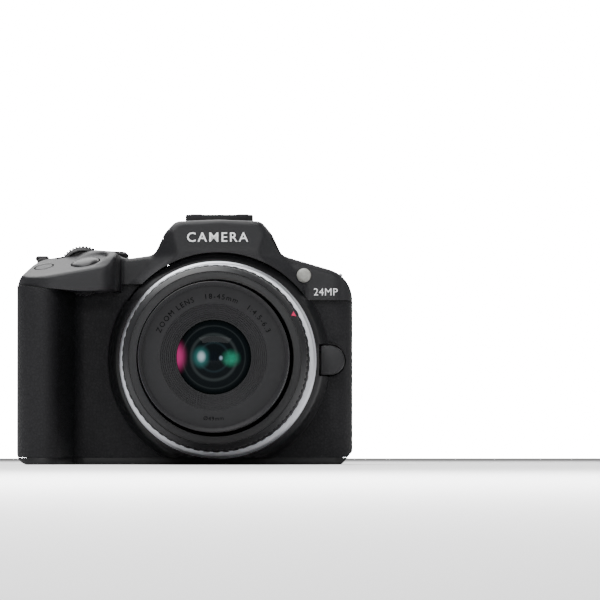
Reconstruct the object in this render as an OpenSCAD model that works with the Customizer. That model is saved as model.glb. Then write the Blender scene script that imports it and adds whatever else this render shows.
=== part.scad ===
// Mirrorless camera with a retracting zoom lens, as an assembly of separate pieces.
// Frame: origin at the mouth of the tripod socket, +Z up, the lens looks along -Y,
// +X is the right-hand side of someone who faces the lens. Millimetres.

/* [Body] */
// Distance from the lens axis to the grip side of the body
grip_side = 69.5; // [69:0.1:70]
// Distance from the lens axis to the screen hinge side of the body
hinge_side = 46.9; // [46.5:0.1:47.4]
// Height of the viewfinder hump above the base
hump_h = 85.7; // [85.4:0.1:86]
// Height of the lens axis above the base
lens_z = 36.4; // [36.2:0.1:36.6]
// Distance from the sensor plane forward to the flat front of the body
front_d = 13.5; // [13.3:0.1:13.8]
// Distance from the sensor plane forward to the front of the grip
grip_d = 38.5; // [38:0.1:39]
// Distance from the sensor plane back to the rear cover
rear_d = 19; // [19:0.1:19.2]
// Wall thickness of the moulded covers
wall = 1.8; // [1.7:0.1:1.9]
// Thickness of the textured skin on the front
skin = 0.8; // [0.7:0.05:0.9]

/* [Lens] */
// Distance from the sensor plane to the mount's flange
flange_d = 20; // [20:0.1:20.2]
// Largest diameter of the lens
lens_d = 68.9; // [68.6:0.1:69.2]
// Length of the lens in front of the flange when it is retracted
lens_len = 44.3; // [44.2:0.1:44.6]
// Clear diameter of the body's bayonet throat
throat_d = 54; // [54:0.1:54.2]
// Inner diameter of the filter thread
filter_d = 48.6; // [48.4:0.1:48.8]
// Ribs round the zoom ring
zoom_ribs = 60; // [48:1:72]

/* [Screen] */
// Width of the swinging screen panel
screen_w = 71.5; // [71:0.5:72]
// Height of the swinging screen panel
screen_h = 51; // [50:0.5:51]
// Thickness of the swinging screen panel
screen_t = 5.2; // [5:0.1:5.3]

/* [Hidden] */
$fn = 48;

gap = 0.05;          // between fixed pieces that lie face to face
play = 0.3;          // round a moving piece
running = 0.06;      // radial clearance of a shaft in its bore
left = -grip_side;
right = hinge_side;
front_y = -front_d;
flange_y = -flange_d;
split_z = 57.3;      // parting height between the lower covers and the top cover
base_t = 2.4;        // thickness of the base cover
collar_r = 37.4;     // moulded collar round the lens mount
collar_bore_r = 33.7;
collar_front_y = -18.9;
throat_r = throat_d / 2;
deck_y = -14.5;      // front face of the top cover beside the hump
hump_y = -19;        // front face of the hump
black = "#1c1c1f";
satin = "#2b2b2f";
far = 120;           // longer than the camera, for cutting blocks

// ---- helpers ----------------------------------------------------------------

function flat(p) = [p[0], p[1]];
function unit(v) = v / norm(v);

// Outline through corners [x, y, radius], each rounded by an arc of n steps
function rounded(corners, n = 6) = [
    for (i = [0 : len(corners) - 1])
        let (
            count = len(corners),
            p = flat(corners[i]),
            u = unit(flat(corners[(i + count - 1) % count]) - p),
            v = unit(flat(corners[(i + 1) % count]) - p),
            r = corners[i][2],
            half = acos(u * v) / 2,
            centre = p + unit(u + v) * r / sin(half),
            from = p + u * r / tan(half) - centre,
            to = p + v * r / tan(half) - centre,
            start = atan2(from[1], from[0]),
            turn = ((atan2(to[1], to[0]) - start + 540) % 360) - 180
        )
        for (k = [0 : n]) centre + r * [cos(start + turn * k / n), sin(start + turn * k / n)]
];

// Outline in X and Z, extruded from y0 to y1
module along_y(y0, y1) {
    translate([0, y1, 0]) rotate([90, 0, 0]) linear_extrude(y1 - y0) children();
}

// Outline in Y and Z, extruded from x0 to x1
module along_x(x0, x1) {
    translate([x0, 0, 0]) rotate([90, 0, 90]) linear_extrude(x1 - x0) children();
}

// Outline in X and Y, extruded from z0 to z1
module along_z(z0, z1) {
    translate([0, 0, z0]) linear_extrude(z1 - z0) children();
}

// Box between two corners
module block(a, b) {
    translate(a) cube(b - a);
}

// Profile of [radius, distance in front of the flange], turned about the lens axis
module turned(points) {
    translate([0, flange_y, lens_z]) rotate([90, 0, 0]) rotate_extrude() polygon(points);
}

// Ring about the lens axis between two radii and two distances in front of the flange
module lens_ring(r0, r1, h0, h1) {
    turned([[r0, h0], [r1, h0], [r1, h1], [r0, h1]]);
}

// Round bar about an axis parallel to Y
module rod_y(x, z, r, y0, y1) {
    translate([x, y1, z]) rotate([90, 0, 0]) cylinder(r = r, h = y1 - y0);
}

// Round bar about an axis parallel to X
module rod_x(y, z, r, x0, x1) {
    translate([x0, y, z]) rotate([0, 90, 0]) cylinder(r = r, h = x1 - x0);
}

// ---- outlines ---------------------------------------------------------------

hump_top = 15.4;     // half width of the hump at its top corners
hump_foot = 22;      // half width of the hump where it meets the deck

module front_outline() {
    polygon(rounded([
        [left, 0, 4.5],
        [left, 63.6, 6],
        [left + 6.2, 71.2, 9],
        [-43, 75, 14],
        [-36.5, 74.2, 4],
        [-32.5, 72, 3],
        [-hump_foot, 73.4, 2.5],
        [-hump_top, hump_h - 0.7, 4],
        [0, hump_h, 40],
        [hump_top, hump_h - 0.7, 4],
        [hump_foot, 73.4, 2.5],
        [right, 65.9, 11],
        [right, 4.6, 1.5],
        [right - 3.8, 0, 1.5]
    ]));
}

// Plan of the lower body, with the grip
module lower_plan() {
    polygon(rounded([
        [left, rear_d, 8],
        [left, -grip_d, 8.5],
        [-55.5, -grip_d, 6],
        [-49.8, front_y, 5],
        [right, front_y, 7],
        [right, rear_d, 5]
    ]));
}

// Plan of the deck, without the nose over the grip
module deck_plan() {
    polygon(rounded([
        [left, rear_d, 8],
        [left, deck_y, 1],
        [right, deck_y, 7],
        [right, rear_d, 5]
    ]));
}

// Plan of the nose over the grip, which carries the shutter button
nose_right = -33.7;
module nose_plan() {
    polygon(rounded([
        [left, 0, 0.5],
        [left, -grip_d, 13],
        [nose_right - 4, -grip_d, 10],
        [nose_right, 0, 0.5]
    ]));
}

// Side view of the nose: its top slopes down to the front, and leans to the grip's outer side
nose_back = [-14, 74.8];
nose_front = [-36, 68.2];
nose_tilt = atan2(nose_back[1] - nose_front[1], nose_back[0] - nose_front[0]);
nose_roll = -10;
nose_pivot = [-45.8, 70];   // X and Z that the lean turns about
function nose_z(y) = nose_front[1] + (y - nose_front[0]) * tan(nose_tilt);
function nose_top(x, y) = nose_pivot[1] + (nose_z(y) - nose_pivot[1]) / cos(nose_roll)
    - tan(nose_roll) * (x - nose_pivot[0]);

module nose_side() {
    polygon(rounded([
        [-grip_d, 30, 0.3],
        [-grip_d, nose_z(-grip_d), 1.8],
        [nose_back[0], nose_back[1], 1],
        [0, nose_back[1] + 0.3, 0.3],
        [0, 30, 0.3]
    ]));
}

// Turns a solid about the nose's pivot, to lean with it
module leaning() {
    translate([nose_pivot[0], 0, nose_pivot[1]]) rotate([0, nose_roll, 0])
        translate([-nose_pivot[0], 0, -nose_pivot[1]]) children();
}

// ---- covers -----------------------------------------------------------------

// The lower body between two heights, shrunk by inset
module lower_body(inset, z0, z1) {
    intersection() {
        along_y(-far, far) offset(delta = -inset) front_outline();
        along_z(z0, z1) offset(delta = -inset) lower_plan();
    }
}

// Release button's outline in X and Z, grown by more
release_x = 39;
release_r = 5.2;
module release_outline(more) {
    translate([release_x, lens_z]) circle(r = release_r + more);
    translate([35.6 - more, lens_z - release_r - more])
        square([release_x - 35.6 + more, 2 * (release_r + more)]);
}

module front_cover() {
    inset = skin + gap;
    color(black) difference() {
        union() {
            difference() {
                lower_body(inset, base_t + gap, split_z - gap);
                lower_body(inset + wall, -1, split_z + 1);
                block([-far, -gap, -1], [far, far, far]);
                // The cover is open at the bottom, where the base cover closes it
                intersection() {
                    along_z(-1, 12) offset(delta = -(inset + wall)) lower_plan();
                    block([left + 7, -far, -1], [right - 5.5, far, 12]);
                }
            }
            intersection() {
                rod_y(0, lens_z, collar_r, collar_front_y, front_y + wall);
                block([-far, -far, base_t + gap], [far, far, split_z - gap]);
            }
        }
        rod_y(0, lens_z, collar_bore_r, -far, 0);
        along_y(-far, 0) release_outline(play);
    }
}

module base_cover() {
    color(black) difference() {
        lower_body(0, 0, base_t);
        translate([0, 0, -1]) cylinder(r = socket_r + gap, h = base_t + 2);
        block([door_x0 - play, door_y0 - play, -1], [door_x1 + play, door_y1 + 0.7, base_t + 1]);
        rod_x(door_pin_y, door_pin_z, door_pin_r + running, door_x0 - 3, door_x1 + 3);
        for (p = base_screws) translate([p[0], p[1], -1]) cylinder(r = 1.8 + gap, h = base_t + 2);
    }
}

// Skin between the covers' inset surface and the outer surface, on one side of the lens
module skin_sheet(x0, x1) {
    difference() {
        along_z(base_t + gap, split_z - gap) intersection() {
            difference() {
                lower_plan();
                offset(delta = -skin) lower_plan();
            }
            translate([x0, -far]) square([x1 - x0, far - gap]);
        }
        rod_y(0, lens_z, collar_r + gap, -far, 0);
        along_y(-far, 0) release_outline(play);
    }
}

module grip_skin() { color("#222226") skin_sheet(-far, -5); }
module front_skin() { color("#28282c") skin_sheet(5, far); }

// Everything above the parting height, shrunk by inset
module upper_body(inset) {
    intersection() {
        along_y(deck_y + inset, rear_d - inset) offset(delta = -inset) front_outline();
        along_z(split_z + gap - inset, far) offset(delta = -inset) deck_plan();
    }
    intersection() {
        along_y(-far, 0) offset(delta = -inset) front_outline();
        along_z(split_z + gap - inset, far) offset(delta = -inset) nose_plan();
        leaning() along_x(-far, far) offset(delta = -inset) nose_side();
    }
    hump_front(inset);
}

// The hump's leaning front face
module hump_front(inset) {
    intersection() {
        along_y(-far, 0) offset(delta = -inset) front_outline();
        block([-hump_foot - 1 + inset, -far, split_z + gap - inset], [hump_foot + 1 - inset, 0, far]);
        along_x(-far, far) offset(delta = -inset) polygon([
            [hump_y, split_z - 4], [hump_y, 76], [hump_y + 2.8, hump_h + 4], [0, hump_h + 4], [0, split_z - 4]
        ]);
    }
}

boss_w = 15;         // half width of the eyepiece boss
boss_z0 = 61;
boss_z1 = 81.5;
boss_y = 24;

module eyepiece_boss(inset) {
    along_y(rear_d - 3, boss_y - inset) offset(delta = -inset) polygon(rounded([
        [-boss_w, boss_z0, 4], [-boss_w, boss_z1, 5], [boss_w, boss_z1, 5], [boss_w, boss_z0, 4]
    ]));
}

module top_cover() {
    color(satin) difference() {
        union() {
            difference() {
                union() {
                    upper_body(0);
                    eyepiece_boss(0);
                }
                upper_body(wall);
                block([left + 4, -12, split_z - 1], [right - 4, rear_d - wall, split_z + 3]);
                // The mount's collar passes behind the top cover's front wall
                rod_y(0, lens_z, collar_r + play, -far, 0);
            }
            // Floors of the dial wells
            intersection() {
                union() {
                    translate([mode_x, mode_y, well_z - 1.7]) cylinder(r = mode_r + 2, h = 1.7);
                    translate([power_x, power_y, well_z - 2.6]) cylinder(r = power_r + 1.6, h = 1.6);
                    for (y = [dial_y - 4.6, dial_y + 3])
                        block([dial_x - 3.4, y, dial_z - 3.5], [dial_x + 3.4, y + 1.7, dial_z + 5.4]);
                    // Floor and rear wall of the flash compartment, and the bed under the shoe
                    block([-18, -17.5, flash_floor - 2], [18, -1.9, flash_floor - play]);
                    block([-18, -2.2, flash_floor - 2], [18, -1.6, shoe_z - gap]);
                    block([-14, -2, shoe_z - 1.6], [14, 18, shoe_z - gap]);
                }
                upper_body(0.4);
            }
        }
        translate([mode_x, mode_y, well_z]) cylinder(r = mode_r + play, h = 20);
        translate([mode_x, mode_y, 50]) cylinder(r = 2 + running, h = 30);
        translate([power_x, power_y, well_z - 1]) cylinder(r = power_r + play, h = 20);
        translate([power_x, power_y, 50]) cylinder(r = 1.5 + running, h = 30);
        block([dial_x - dial_r - 0.6, dial_y - dial_t / 2 - play, dial_z - dial_r - 0.6],
              [dial_x + dial_r + 0.6, dial_y + dial_t / 2 + play, hump_h]);
        rod_y(dial_x, dial_z, 1.2 + running, dial_y - 6, dial_y + 6);
        at_nose(shutter_x, shutter_y) translate([0, 0, -6]) cylinder(r = shutter_r + play, h = 12);
        at_nose(movie_x, movie_y) translate([0, 0, -6]) cylinder(r = movie_r + play, h = 12);
        translate([iso_x, iso_y, 60]) cylinder(r = iso_r + play, h = 20);
        // Flash compartment, shoe seat, viewfinder tunnel and dioptre wheel slot
        flash_space(play);
        block([-11.9 - gap, shoe_y0 - gap, shoe_z - gap], [11.9 + gap, far, hump_h + 5]);
        block([-9, 12, 66], [9, far, 77.5]);
        block([-19, diopter_y - 4.6, diopter_z - 4.6], [-boss_w - 0.02, far, diopter_z + 4.6]);
        rod_x(diopter_y, diopter_z, 1.2 + running, -17, -12);
        // Lug pockets and the focus lamp
        block([-far, lug_y0 - 1, 60.4], [left + 1.1, lug_y1 + 1, 63.6]);
        translate([left + 3.1, 0, 62]) lug_slot(4.7);
        right_lug_place() block([-1.4, lug_y0 - 1, 1.2], [1.4, lug_y1 + 1, 6]);
        right_lug_place() rotate([0, 90, 0]) translate([2, 0, 0]) lug_slot(5.4);
        rod_y(lamp_x, lamp_z, lamp_r + gap, -far, 0);
    }
    color(satin) flash_ears();
}

module rear_cover() {
    color(black) difference() {
        union() {
            difference() {
                lower_body(0, base_t + gap, split_z - gap);
                lower_body(wall, -1, split_z + 1);
                block([-far, -far, -1], [far, gap, far]);
            }
            intersection() {
                block([screen_x0 - 3, screen_floor - wall, screen_z0 - 2.5], [far, rear_d - 0.5, screen_z1 + 2.5]);
                lower_body(0, base_t + gap, split_z - gap);
            }
        }
        block([screen_x0 - play, screen_floor, screen_z0 - play], [far, far, screen_z1 + play]);
        for (b = rear_buttons) rod_y(b[0], b[1], b[2] + play, 10, far);
        rod_y(pad_x, pad_z, pad_r + play, 10, far);
        block([right - 3.4, jack_y0 - 0.1, jack_z0 - 0.1], [far, jack_y1 + 0.1, jack_z1 + 0.1]);
        block([-far, port_y0 - 0.1, port_z0 - 0.1], [left + 3.4, port_y1 + 0.1, port_z1 + 0.1]);
    }
    // Hinge knuckles of the screen, fixed to the rear cover
    color(black) for (z = [screen_z0, hinge_z1 + play]) difference() {
        union() {
            translate([swing_x, swing_y, z]) cylinder(r = knuckle_r, h = knuckle_h);
            block([swing_x - 1.4, screen_floor - 0.6, z], [swing_x + 1.4, swing_y, z + knuckle_h]);
        }
        translate([swing_x, swing_y, z - 1]) cylinder(r = 0.8 + running, h = knuckle_h + 2);
    }
}

// ---- mount, frame and electronics ---------------------------------------------

pin_at = 29.6;       // radius at which the lock pin enters the mount
mount_screw_at = 30.2;
mount_screw_angles = [45, 135, 225, 315];

module at_mount_screws() {
    for (a = mount_screw_angles)
        translate([mount_screw_at * cos(a), 0, lens_z + mount_screw_at * sin(a)]) children();
}

module mount_ring() {
    color("silver") difference() {
        union() {
            lens_ring(throat_r, 33.4, -2.8, -gap);
            // Three tabs that hold the lens's lugs
            for (a = [10, 130, 250]) intersection() {
                lens_ring(26, throat_r + 0.2, -2.8, -1.4);
                translate([0, 0, lens_z]) rotate([90, a, 0]) linear_extrude(far)
                    polygon([[0, 0], far * [cos(0), sin(0)], far * [cos(25), sin(25)], far * [cos(50), sin(50)]]);
            }
        }
        rod_y(pin_at, lens_z, 1.5 + running, -far, 0);
        at_mount_screws() rod_y(0, 0, 0.8, -far, 0);
        at_mount_screws() rod_y(0, 0, 1.6, -far, flange_y + 1);
    }
}

base_screws = [[-26, 12], [-62, 15], [20, -8], [38, 11], [38, -8], [10, 11.5]];

module screws() {
    color("#3a3a3c") {
        at_mount_screws() {
            rod_y(0, 0, 1.5, flange_y + 0.1, flange_y + 0.95);
            rod_y(0, 0, 0.75, flange_y + 0.9, flange_y + 4.2);
        }
        for (p = base_screws) translate([p[0], p[1], 0.15]) difference() {
            union() {
                cylinder(r = 1.8, h = 1);
                cylinder(r = 0.8, h = 6);
            }
            for (a = [0, 90]) rotate(a) translate([-1, -0.2, -0.1]) cube([2, 0.4, 0.5]);
        }
    }
}

module body_contacts() {
    color("#1b1b1d") intersection() {
        lens_ring(21.5, 24, -10, -7.2);
        block([-16, -far, 0], [16, 0, lens_z - 8]);
    }
    color("gold") for (a = [-34 : 6.2 : 34])
        rod_y(22.7 * sin(a), lens_z - 22.7 * cos(a), 0.6, flange_y + 5.4, flange_y + 7.2 - gap);
}

module chassis() {
    color("#8a8c90") difference() {
        union() {
            lens_ring(throat_r + 0.2, 33.4, -5, -2.8 - gap);
            lens_ring(31, 33.4, -13, -4.9);
            block([-33.6, -7.2, 4], [34, -5.6, 56]);
        }
        block([-19, -far, 22], [19, 0, 51]);
        rod_y(pin_at, lens_z, 2.2, -far, 0);
        block([24, -14.6, lens_z - 3.4], [40, -7.2, lens_z + 3.4]);
        at_mount_screws() rod_y(0, 0, 0.8, flange_y, flange_y + 6);
    }
}

module shutter_unit() {
    color("#303034") difference() {
        block([-24, -5.4, 12], [26, -2.6, 60]);
        block([-12.5, -far, 27.5], [12.5, 0, 45.3]);
        block([-13.5, -4.6, 14], [13.5, -3.2, 58]);
    }
    // Curtain blades, folded below the frame's opening
    color("#141416") for (k = [0 : 2])
        block([-13.2, -4.5 + 0.42 * k, 15 + 0.8 * k], [13.2, -4.2 + 0.42 * k, 26 + 0.4 * k]);
}

module image_sensor() {
    color("#3c5a52") block([-14.5, -2.2, lens_z - 10.5], [14.5, -1.2, lens_z + 10.5]);
    color("#b8a24a") block([-15.5, -1.15, lens_z - 12], [15.5, 0.6, lens_z + 12]);
    color("darkgreen") block([-19, 0.65, lens_z - 16], [19, 1.9, lens_z + 16]);
}

module main_board() {
    color("darkgreen") block([-31, 6, 6], [34, 7.1, 55]);
    color("#202022") {
        block([-18, 7.15, 20], [-2, 8.6, 36]);
        block([4, 7.15, 24], [16, 8.3, 36]);
        block([22, 7.15, 12], [32, 8.5, 19]);
    }
    color("silver") block([-28, 7.15, 42], [-10, 8.7, 52]);
}

module battery() { color("#2e2e33") block([-66, -10.6, 3], [-33.8, 2.6, 52.4]); }

module memory_card() {
    color("#24324a") along_y(4.4, 6.5) polygon([
        [-59.5, 6], [-35.5, 6], [-35.5, 38], [-55.5, 38], [-59.5, 34]
    ]);
}

module port_sockets() {
    // Two sockets on the grip side and a round jack on the hinge side
    color("silver") difference() {
        block([left + 3.6, port_y0 + 1.5, port_z0 + 2], [left + 9, port_y0 + 5, port_z0 + 11]);
        block([left + 3, port_y0 + 2.1, port_z0 + 2.6], [left + 8, port_y0 + 4.4, port_z0 + 10.4]);
    }
    color("silver") difference() {
        block([left + 3.6, port_y0 + 1.6, port_z0 + 14], [left + 9, port_y0 + 4.8, port_z0 + 21]);
        block([left + 3, port_y0 + 2.2, port_z0 + 14.6], [left + 8, port_y0 + 4.2, port_z0 + 20.4]);
    }
    color("#1b1b1d") difference() {
        rod_x(9.3, jack_z0 + 5.5, 3.2, right - 12, right - 3.6);
        rod_x(9.3, jack_z0 + 5.5, 1.8, right - 11, right);
    }
}

socket_r = 6;
module tripod_socket() {
    color("#6e7074") difference() {
        union() {
            cylinder(r = socket_r, h = base_t);
            translate([0, 0, base_t + gap - 0.1]) cylinder(r = 5, h = 4.7);
        }
        translate([0, 0, -1]) cylinder(r = 3.2, h = 6.5);
    }
}

// ---- viewfinder, shoe and flash -------------------------------------------------

shoe_y0 = -1.8;
shoe_z = 84.2;       // seat of the shoe in the hump

module shoe_base() {
    color("#161618") {
        block([-11.9, shoe_y0, shoe_z], [11.9, rear_d - 1, shoe_z + 0.6]);
        along_y(shoe_y0, shoe_y0 + 2.4) polygon(rounded([
            [-11.9, shoe_z + 0.3, 0.1], [-11.9, 87.8, 0.6], [11.9, 87.8, 0.6], [11.9, shoe_z + 0.3, 0.1]
        ], 3));
    }
}

shoe_bed = shoe_z + 0.6 + gap;
rail_x = 10.2;       // half width over the rails
rail_z = 88.3;
module hot_shoe() {
    color("#c9cbd0") {
        along_y(1, rear_d - 1.4) polygon([
            [-rail_x, shoe_bed], [rail_x, shoe_bed], [rail_x, rail_z], [6.3, rail_z], [6.3, 87.4],
            [9.35, 87.4], [9.35, shoe_bed + 0.7], [-9.35, shoe_bed + 0.7], [-9.35, 87.4], [-6.3, 87.4],
            [-6.3, rail_z], [-rail_x, rail_z]
        ]);
    }
}

flash_pivot = [-3.6, 84.2];  // Y and Z of the flash hinge
flash_pivot_r = 1.2;         // radius of the head's rear edge about the hinge
flash_floor = 79.4;
flash_reach = 11;            // radius of the head's lower front edge about the hinge
flash_y0 = -14.4;            // front of the flash head
flash_ear_x = 8.9;           // inner side of each hinge ear on the top cover
flash_ear_t = 1.8;
flash_pin_r = 0.6;

module flash_space(more) {
    block([-far, flash_y0 - more, flash_floor - more], [far, -2.2, far]);
}

// Two ears that carry the flash head's pin
module flash_ears() {
    for (x = [-flash_ear_x - flash_ear_t, flash_ear_x]) difference() {
        union() {
            rod_x(flash_pivot[0], flash_pivot[1], 1.1, x, x + flash_ear_t);
            block([x, flash_pivot[0] - 0.9, flash_floor - 1.5], [x + flash_ear_t, flash_pivot[0] + 0.9, flash_pivot[1]]);
        }
        rod_x(flash_pivot[0], flash_pivot[1], flash_pin_r + running, x - 1, x + flash_ear_t + 1);
    }
}

module flash_head() {
    color(satin) difference() {
        intersection() {
            along_y(flash_y0, -2) front_outline();
            along_x(-far, far) polygon([
                // The lower front edge is an arc about the hinge, so that it clears the hump's front wall
                for (a = [11 : 3.6 : 26]) flash_pivot - flash_reach * [cos(a), sin(a)],
                [-7, flash_floor],
                for (a = [-60 : 15 : 75]) flash_pivot + flash_pivot_r * [cos(a), sin(a)],
                [flash_pivot[0] - 1, hump_h + 1], [flash_y0, hump_h + 1]
            ]);
        }
        block([-12.4, flash_y0 + 1.4, flash_floor - 1], [12.4, -7.6, flash_floor + 1.4]);
        for (x = [-flash_ear_x - flash_ear_t - play, flash_ear_x - play])
            block([x, flash_pivot[0] - 1.7, 0], [x + flash_ear_t + 2 * play, far, far]);
    }
    color("silver") rod_x(flash_pivot[0], flash_pivot[1], flash_pin_r, -flash_ear_x - 3, flash_ear_x + 3);
}

module flash_window() {
    color("#dfe4ea") block([-12.3, flash_y0 + 1.5, flash_floor + 0.2], [12.3, -7.7, flash_floor + 1.3]);
}

module viewfinder_unit() {
    color("#26262a") difference() {
        block([-11, -1.5, 62], [11, 16.5, 78.6]);
        block([-8, 8, 66.5], [8, 17, 77]);
    }
    color("#1f2a44") block([-6.5, 9, 67.8], [6.5, 9.6, 75.7]);
}

module viewfinder_lens() {
    color("#3b4250") intersection() {
        block([-8.6, 18, 66.4], [8.6, 21.4, 77.1]);
        translate([0, -14, 71.75]) sphere(r = 35.4, $fn = 180);
    }
}

module eyecup() {
    color("#141416") difference() {
        along_y(boss_y + gap, 30.8) polygon(rounded([
            [-15.2, 60.6, 4.5], [-15.2, 82, 5.5], [15.2, 82, 5.5], [15.2, 60.6, 4.5]
        ]));
        along_y(20, 40) polygon(rounded([
            [-9.5, 66, 1.5], [-9.5, 77.5, 1.5], [9.5, 77.5, 1.5], [9.5, 66, 1.5]
        ]));
        along_y(27.6, 40) polygon(rounded([
            [-13.2, 63, 3], [-13.2, 79.8, 3.6], [13.2, 79.8, 3.6], [13.2, 63, 3]
        ]));
    }
}

diopter_y = 21.6;
diopter_z = 72.4;
module diopter_dial() {
    color(black) {
        along_x(-18.4, -boss_w - 0.55) translate([diopter_y, diopter_z]) polygon([
            for (k = [0 : 35]) (k % 2 == 0 ? 4 : 3.75) * [cos(k * 10), sin(k * 10)]
        ]);
        rod_x(diopter_y, diopter_z, 1.2, -boss_w - 0.6, -12.4);
    }
}

// ---- lugs, lamp, doors ----------------------------------------------------------

lug_y0 = 4;
lug_y1 = 13;
module lug_plate(length) {
    difference() {
        block([-length, lug_y0, -0.55], [0, lug_y1, 0.55]);
        block([-length + 1.1, lug_y0 + 1.4, -1], [-length + 3.3, lug_y1 - 1.4, 1]);
    }
}

// Slot through a cover that a lug's plate is pushed into
module lug_slot(length) {
    block([-length, lug_y0 - gap, -0.55 - gap], [gap, lug_y1 + gap, 0.55 + gap]);
}

module right_lug_place() { translate([41.3, 0, 64.4]) rotate([0, 30, 0]) children(); }

module strap_lugs() {
    color("#8b8d92") {
        translate([left + 3.1, 0, 62]) lug_plate(4.7);
        right_lug_place() rotate([0, 90, 0]) translate([2, 0, 0]) lug_plate(5.4);
    }
}

lamp_x = 29.9;
lamp_z = 66.1;
lamp_r = 2.5;
module af_lamp() {
    color("#d9dcd6") {
        rod_y(lamp_x, lamp_z, lamp_r, deck_y, deck_y + 4);
        intersection() {
            rod_y(lamp_x, lamp_z, lamp_r, deck_y - 2, deck_y + 1);
            translate([lamp_x, deck_y + 3.3, lamp_z]) sphere(r = 4.2);
        }
    }
}

door_x0 = -63.5;
door_x1 = -34.5;
door_y0 = -11.2;
door_y1 = 9.3;
door_pin_y = 8.4;
door_pin_z = 1.2;
door_pin_r = 0.7;
latch_x = -49;

module battery_door() {
    color(black) {
        difference() {
            along_x(door_x0, door_x1) polygon(rounded([
                [door_y0, 0, 0.2], [door_y0, base_t - 0.1, 0.2],
                [door_y1, base_t - 0.1, 0.9], [door_y1, 0, 0.9]
            ]));
            block([latch_x - 4.2, door_y0 + 2, -1], [latch_x + 4.2, door_y0 + 9.2, 1.2]);
        }
        rod_x(door_pin_y, door_pin_z, door_pin_r, door_x0 - 2.4, door_x1 + 2.4);
    }
}

module door_latch() {
    color("#3a3a3e") difference() {
        block([latch_x - 4, door_y0 + 2.3, 0.25], [latch_x + 4, door_y0 + 6.7, 1.1]);
        for (k = [0 : 3])
            block([latch_x - 3, door_y0 + 3 + k * 0.9, 0], [latch_x + 3, door_y0 + 3.4 + k * 0.9, 0.5]);
    }
}

jack_y0 = 5;
jack_y1 = 13.4;
jack_z0 = 38;
jack_z1 = 50;
port_y0 = 4.6;
port_y1 = 12.6;
port_z0 = 16;
port_z1 = 42;

flap_t = 1.75;       // depth of the side flaps' inner faces below the body's side

flap_pin_r = 0.6;    // radius of the flaps' rounded hinge edge
flap_pin_x = 0.75;   // depth of the flaps' hinge axis below the body's side

module jack_cover() {
    y = jack_y0 + play + flap_pin_r;
    color("#1a1a1c") {
        block([right - flap_t, y, jack_z0 + play], [right - 0.15, jack_y1 - play, jack_z1 - play]);
        translate([right - flap_pin_x, y, jack_z0 + play])
            cylinder(r = flap_pin_r, h = jack_z1 - jack_z0 - 2 * play);
    }
}

module port_cover() {
    y = port_y0 + play + flap_pin_r;
    color("#1a1a1c") {
        block([left + 0.15, y, port_z0 + play], [left + flap_t, port_y1 - play, port_z1 - play]);
        translate([left + flap_pin_x, y, port_z0 + play])
            cylinder(r = flap_pin_r, h = port_z1 - port_z0 - 2 * play);
    }
}

// ---- dials and buttons ------------------------------------------------------------

well_z = 70.7;
mode_x = -42;
mode_y = 7.4;
mode_r = 9.7;
power_x = -59.6;
power_y = 3.6;
power_r = 4.9;
dial_x = -47.3;
dial_y = -15.6;
dial_z = 67.7;
dial_r = 8.7;
dial_t = 4.6;
shutter_x = -45.8;
shutter_y = -29.4;
shutter_r = 4.9;
movie_x = -60.4;
movie_y = -25.4;
movie_r = 3.2;
iso_x = -60.2;
iso_y = -9;
iso_r = 2.5;

// Disc with a toothed rim of n teeth about Z, from z0 to z1
module knurled(r, depth, n, z0, z1) {
    along_z(z0, z1) polygon([
        for (k = [0 : n - 1]) each [
            r * [cos(k * 360 / n), sin(k * 360 / n)],
            r * [cos((k + 0.45) * 360 / n), sin((k + 0.45) * 360 / n)],
            (r - depth) * [cos((k + 0.6) * 360 / n), sin((k + 0.6) * 360 / n)],
            (r - depth) * [cos((k + 0.85) * 360 / n), sin((k + 0.85) * 360 / n)]
        ]
    ]);
}

module mode_dial() {
    color(black) translate([mode_x, mode_y, 0]) {
        knurled(mode_r, 0.3, 60, well_z + 0.3, well_z + 3.9);
        translate([0, 0, well_z + 3.8]) cylinder(r1 = mode_r - 0.5, r2 = mode_r - 0.9, h = 0.7);
        translate([0, 0, 66]) cylinder(r = 2, h = 5.2);
    }
}

module main_dial() {
    color(black) translate([dial_x, dial_y, dial_z]) rotate([90, 0, 0]) {
        knurled(dial_r, 0.3, 44, -dial_t / 2, dial_t / 2);
        translate([0, 0, -4.6]) cylinder(r = 1.2, h = 9.2);
    }
}

module power_lever() {
    color(black) translate([power_x, power_y, 0]) {
        translate([0, 0, well_z - 0.7]) cylinder(r = power_r, h = 2.6);
        translate([0, 0, well_z - 3.4]) cylinder(r = 1.5, h = 3);
        block([-power_r - 0.2, -1, well_z + 1.3], [-1, 1, well_z + 3]);
    }
}

// Places a button on the sloping nose, with local Z along its press axis
module at_nose(x, y) {
    translate([x, y, nose_top(x, y)]) rotate([0, nose_roll, 0]) rotate([nose_tilt, 0, 0]) children();
}

module push_button(r, top, stem) {
    cylinder(r = r, h = top);
    translate([0, 0, -stem]) cylinder(r = r, h = stem + 0.1);
    translate([0, 0, -stem]) cylinder(r = r + 0.8, h = 0.8);
}

module shutter_button() {
    color("#303035") at_nose(shutter_x, shutter_y) difference() {
        push_button(shutter_r, 1.2, 3.3);
        translate([0, 0, 26.1]) sphere(r = 25.3, $fn = 96);
    }
}

module movie_button() {
    color(satin) at_nose(movie_x, movie_y) push_button(movie_r, 0.1, 3.8);
}

module iso_button() {
    color(black) translate([iso_x, iso_y, 71.6]) push_button(iso_r, 0.6, 4.8);
}

release_tab_y = -10.4;   // front face of the tab that carries the lock pin
module release_button() {
    color(black) {
        along_y(-17, -9) release_outline(0);
        block([pin_at - 2, release_tab_y, lens_z - 2.6], [release_x, -8.7, lens_z + 2.6]);
    }
}

module lock_pin() { color("silver") rod_y(pin_at, lens_z, 1.5, flange_y - 1.05, release_tab_y); }

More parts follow.
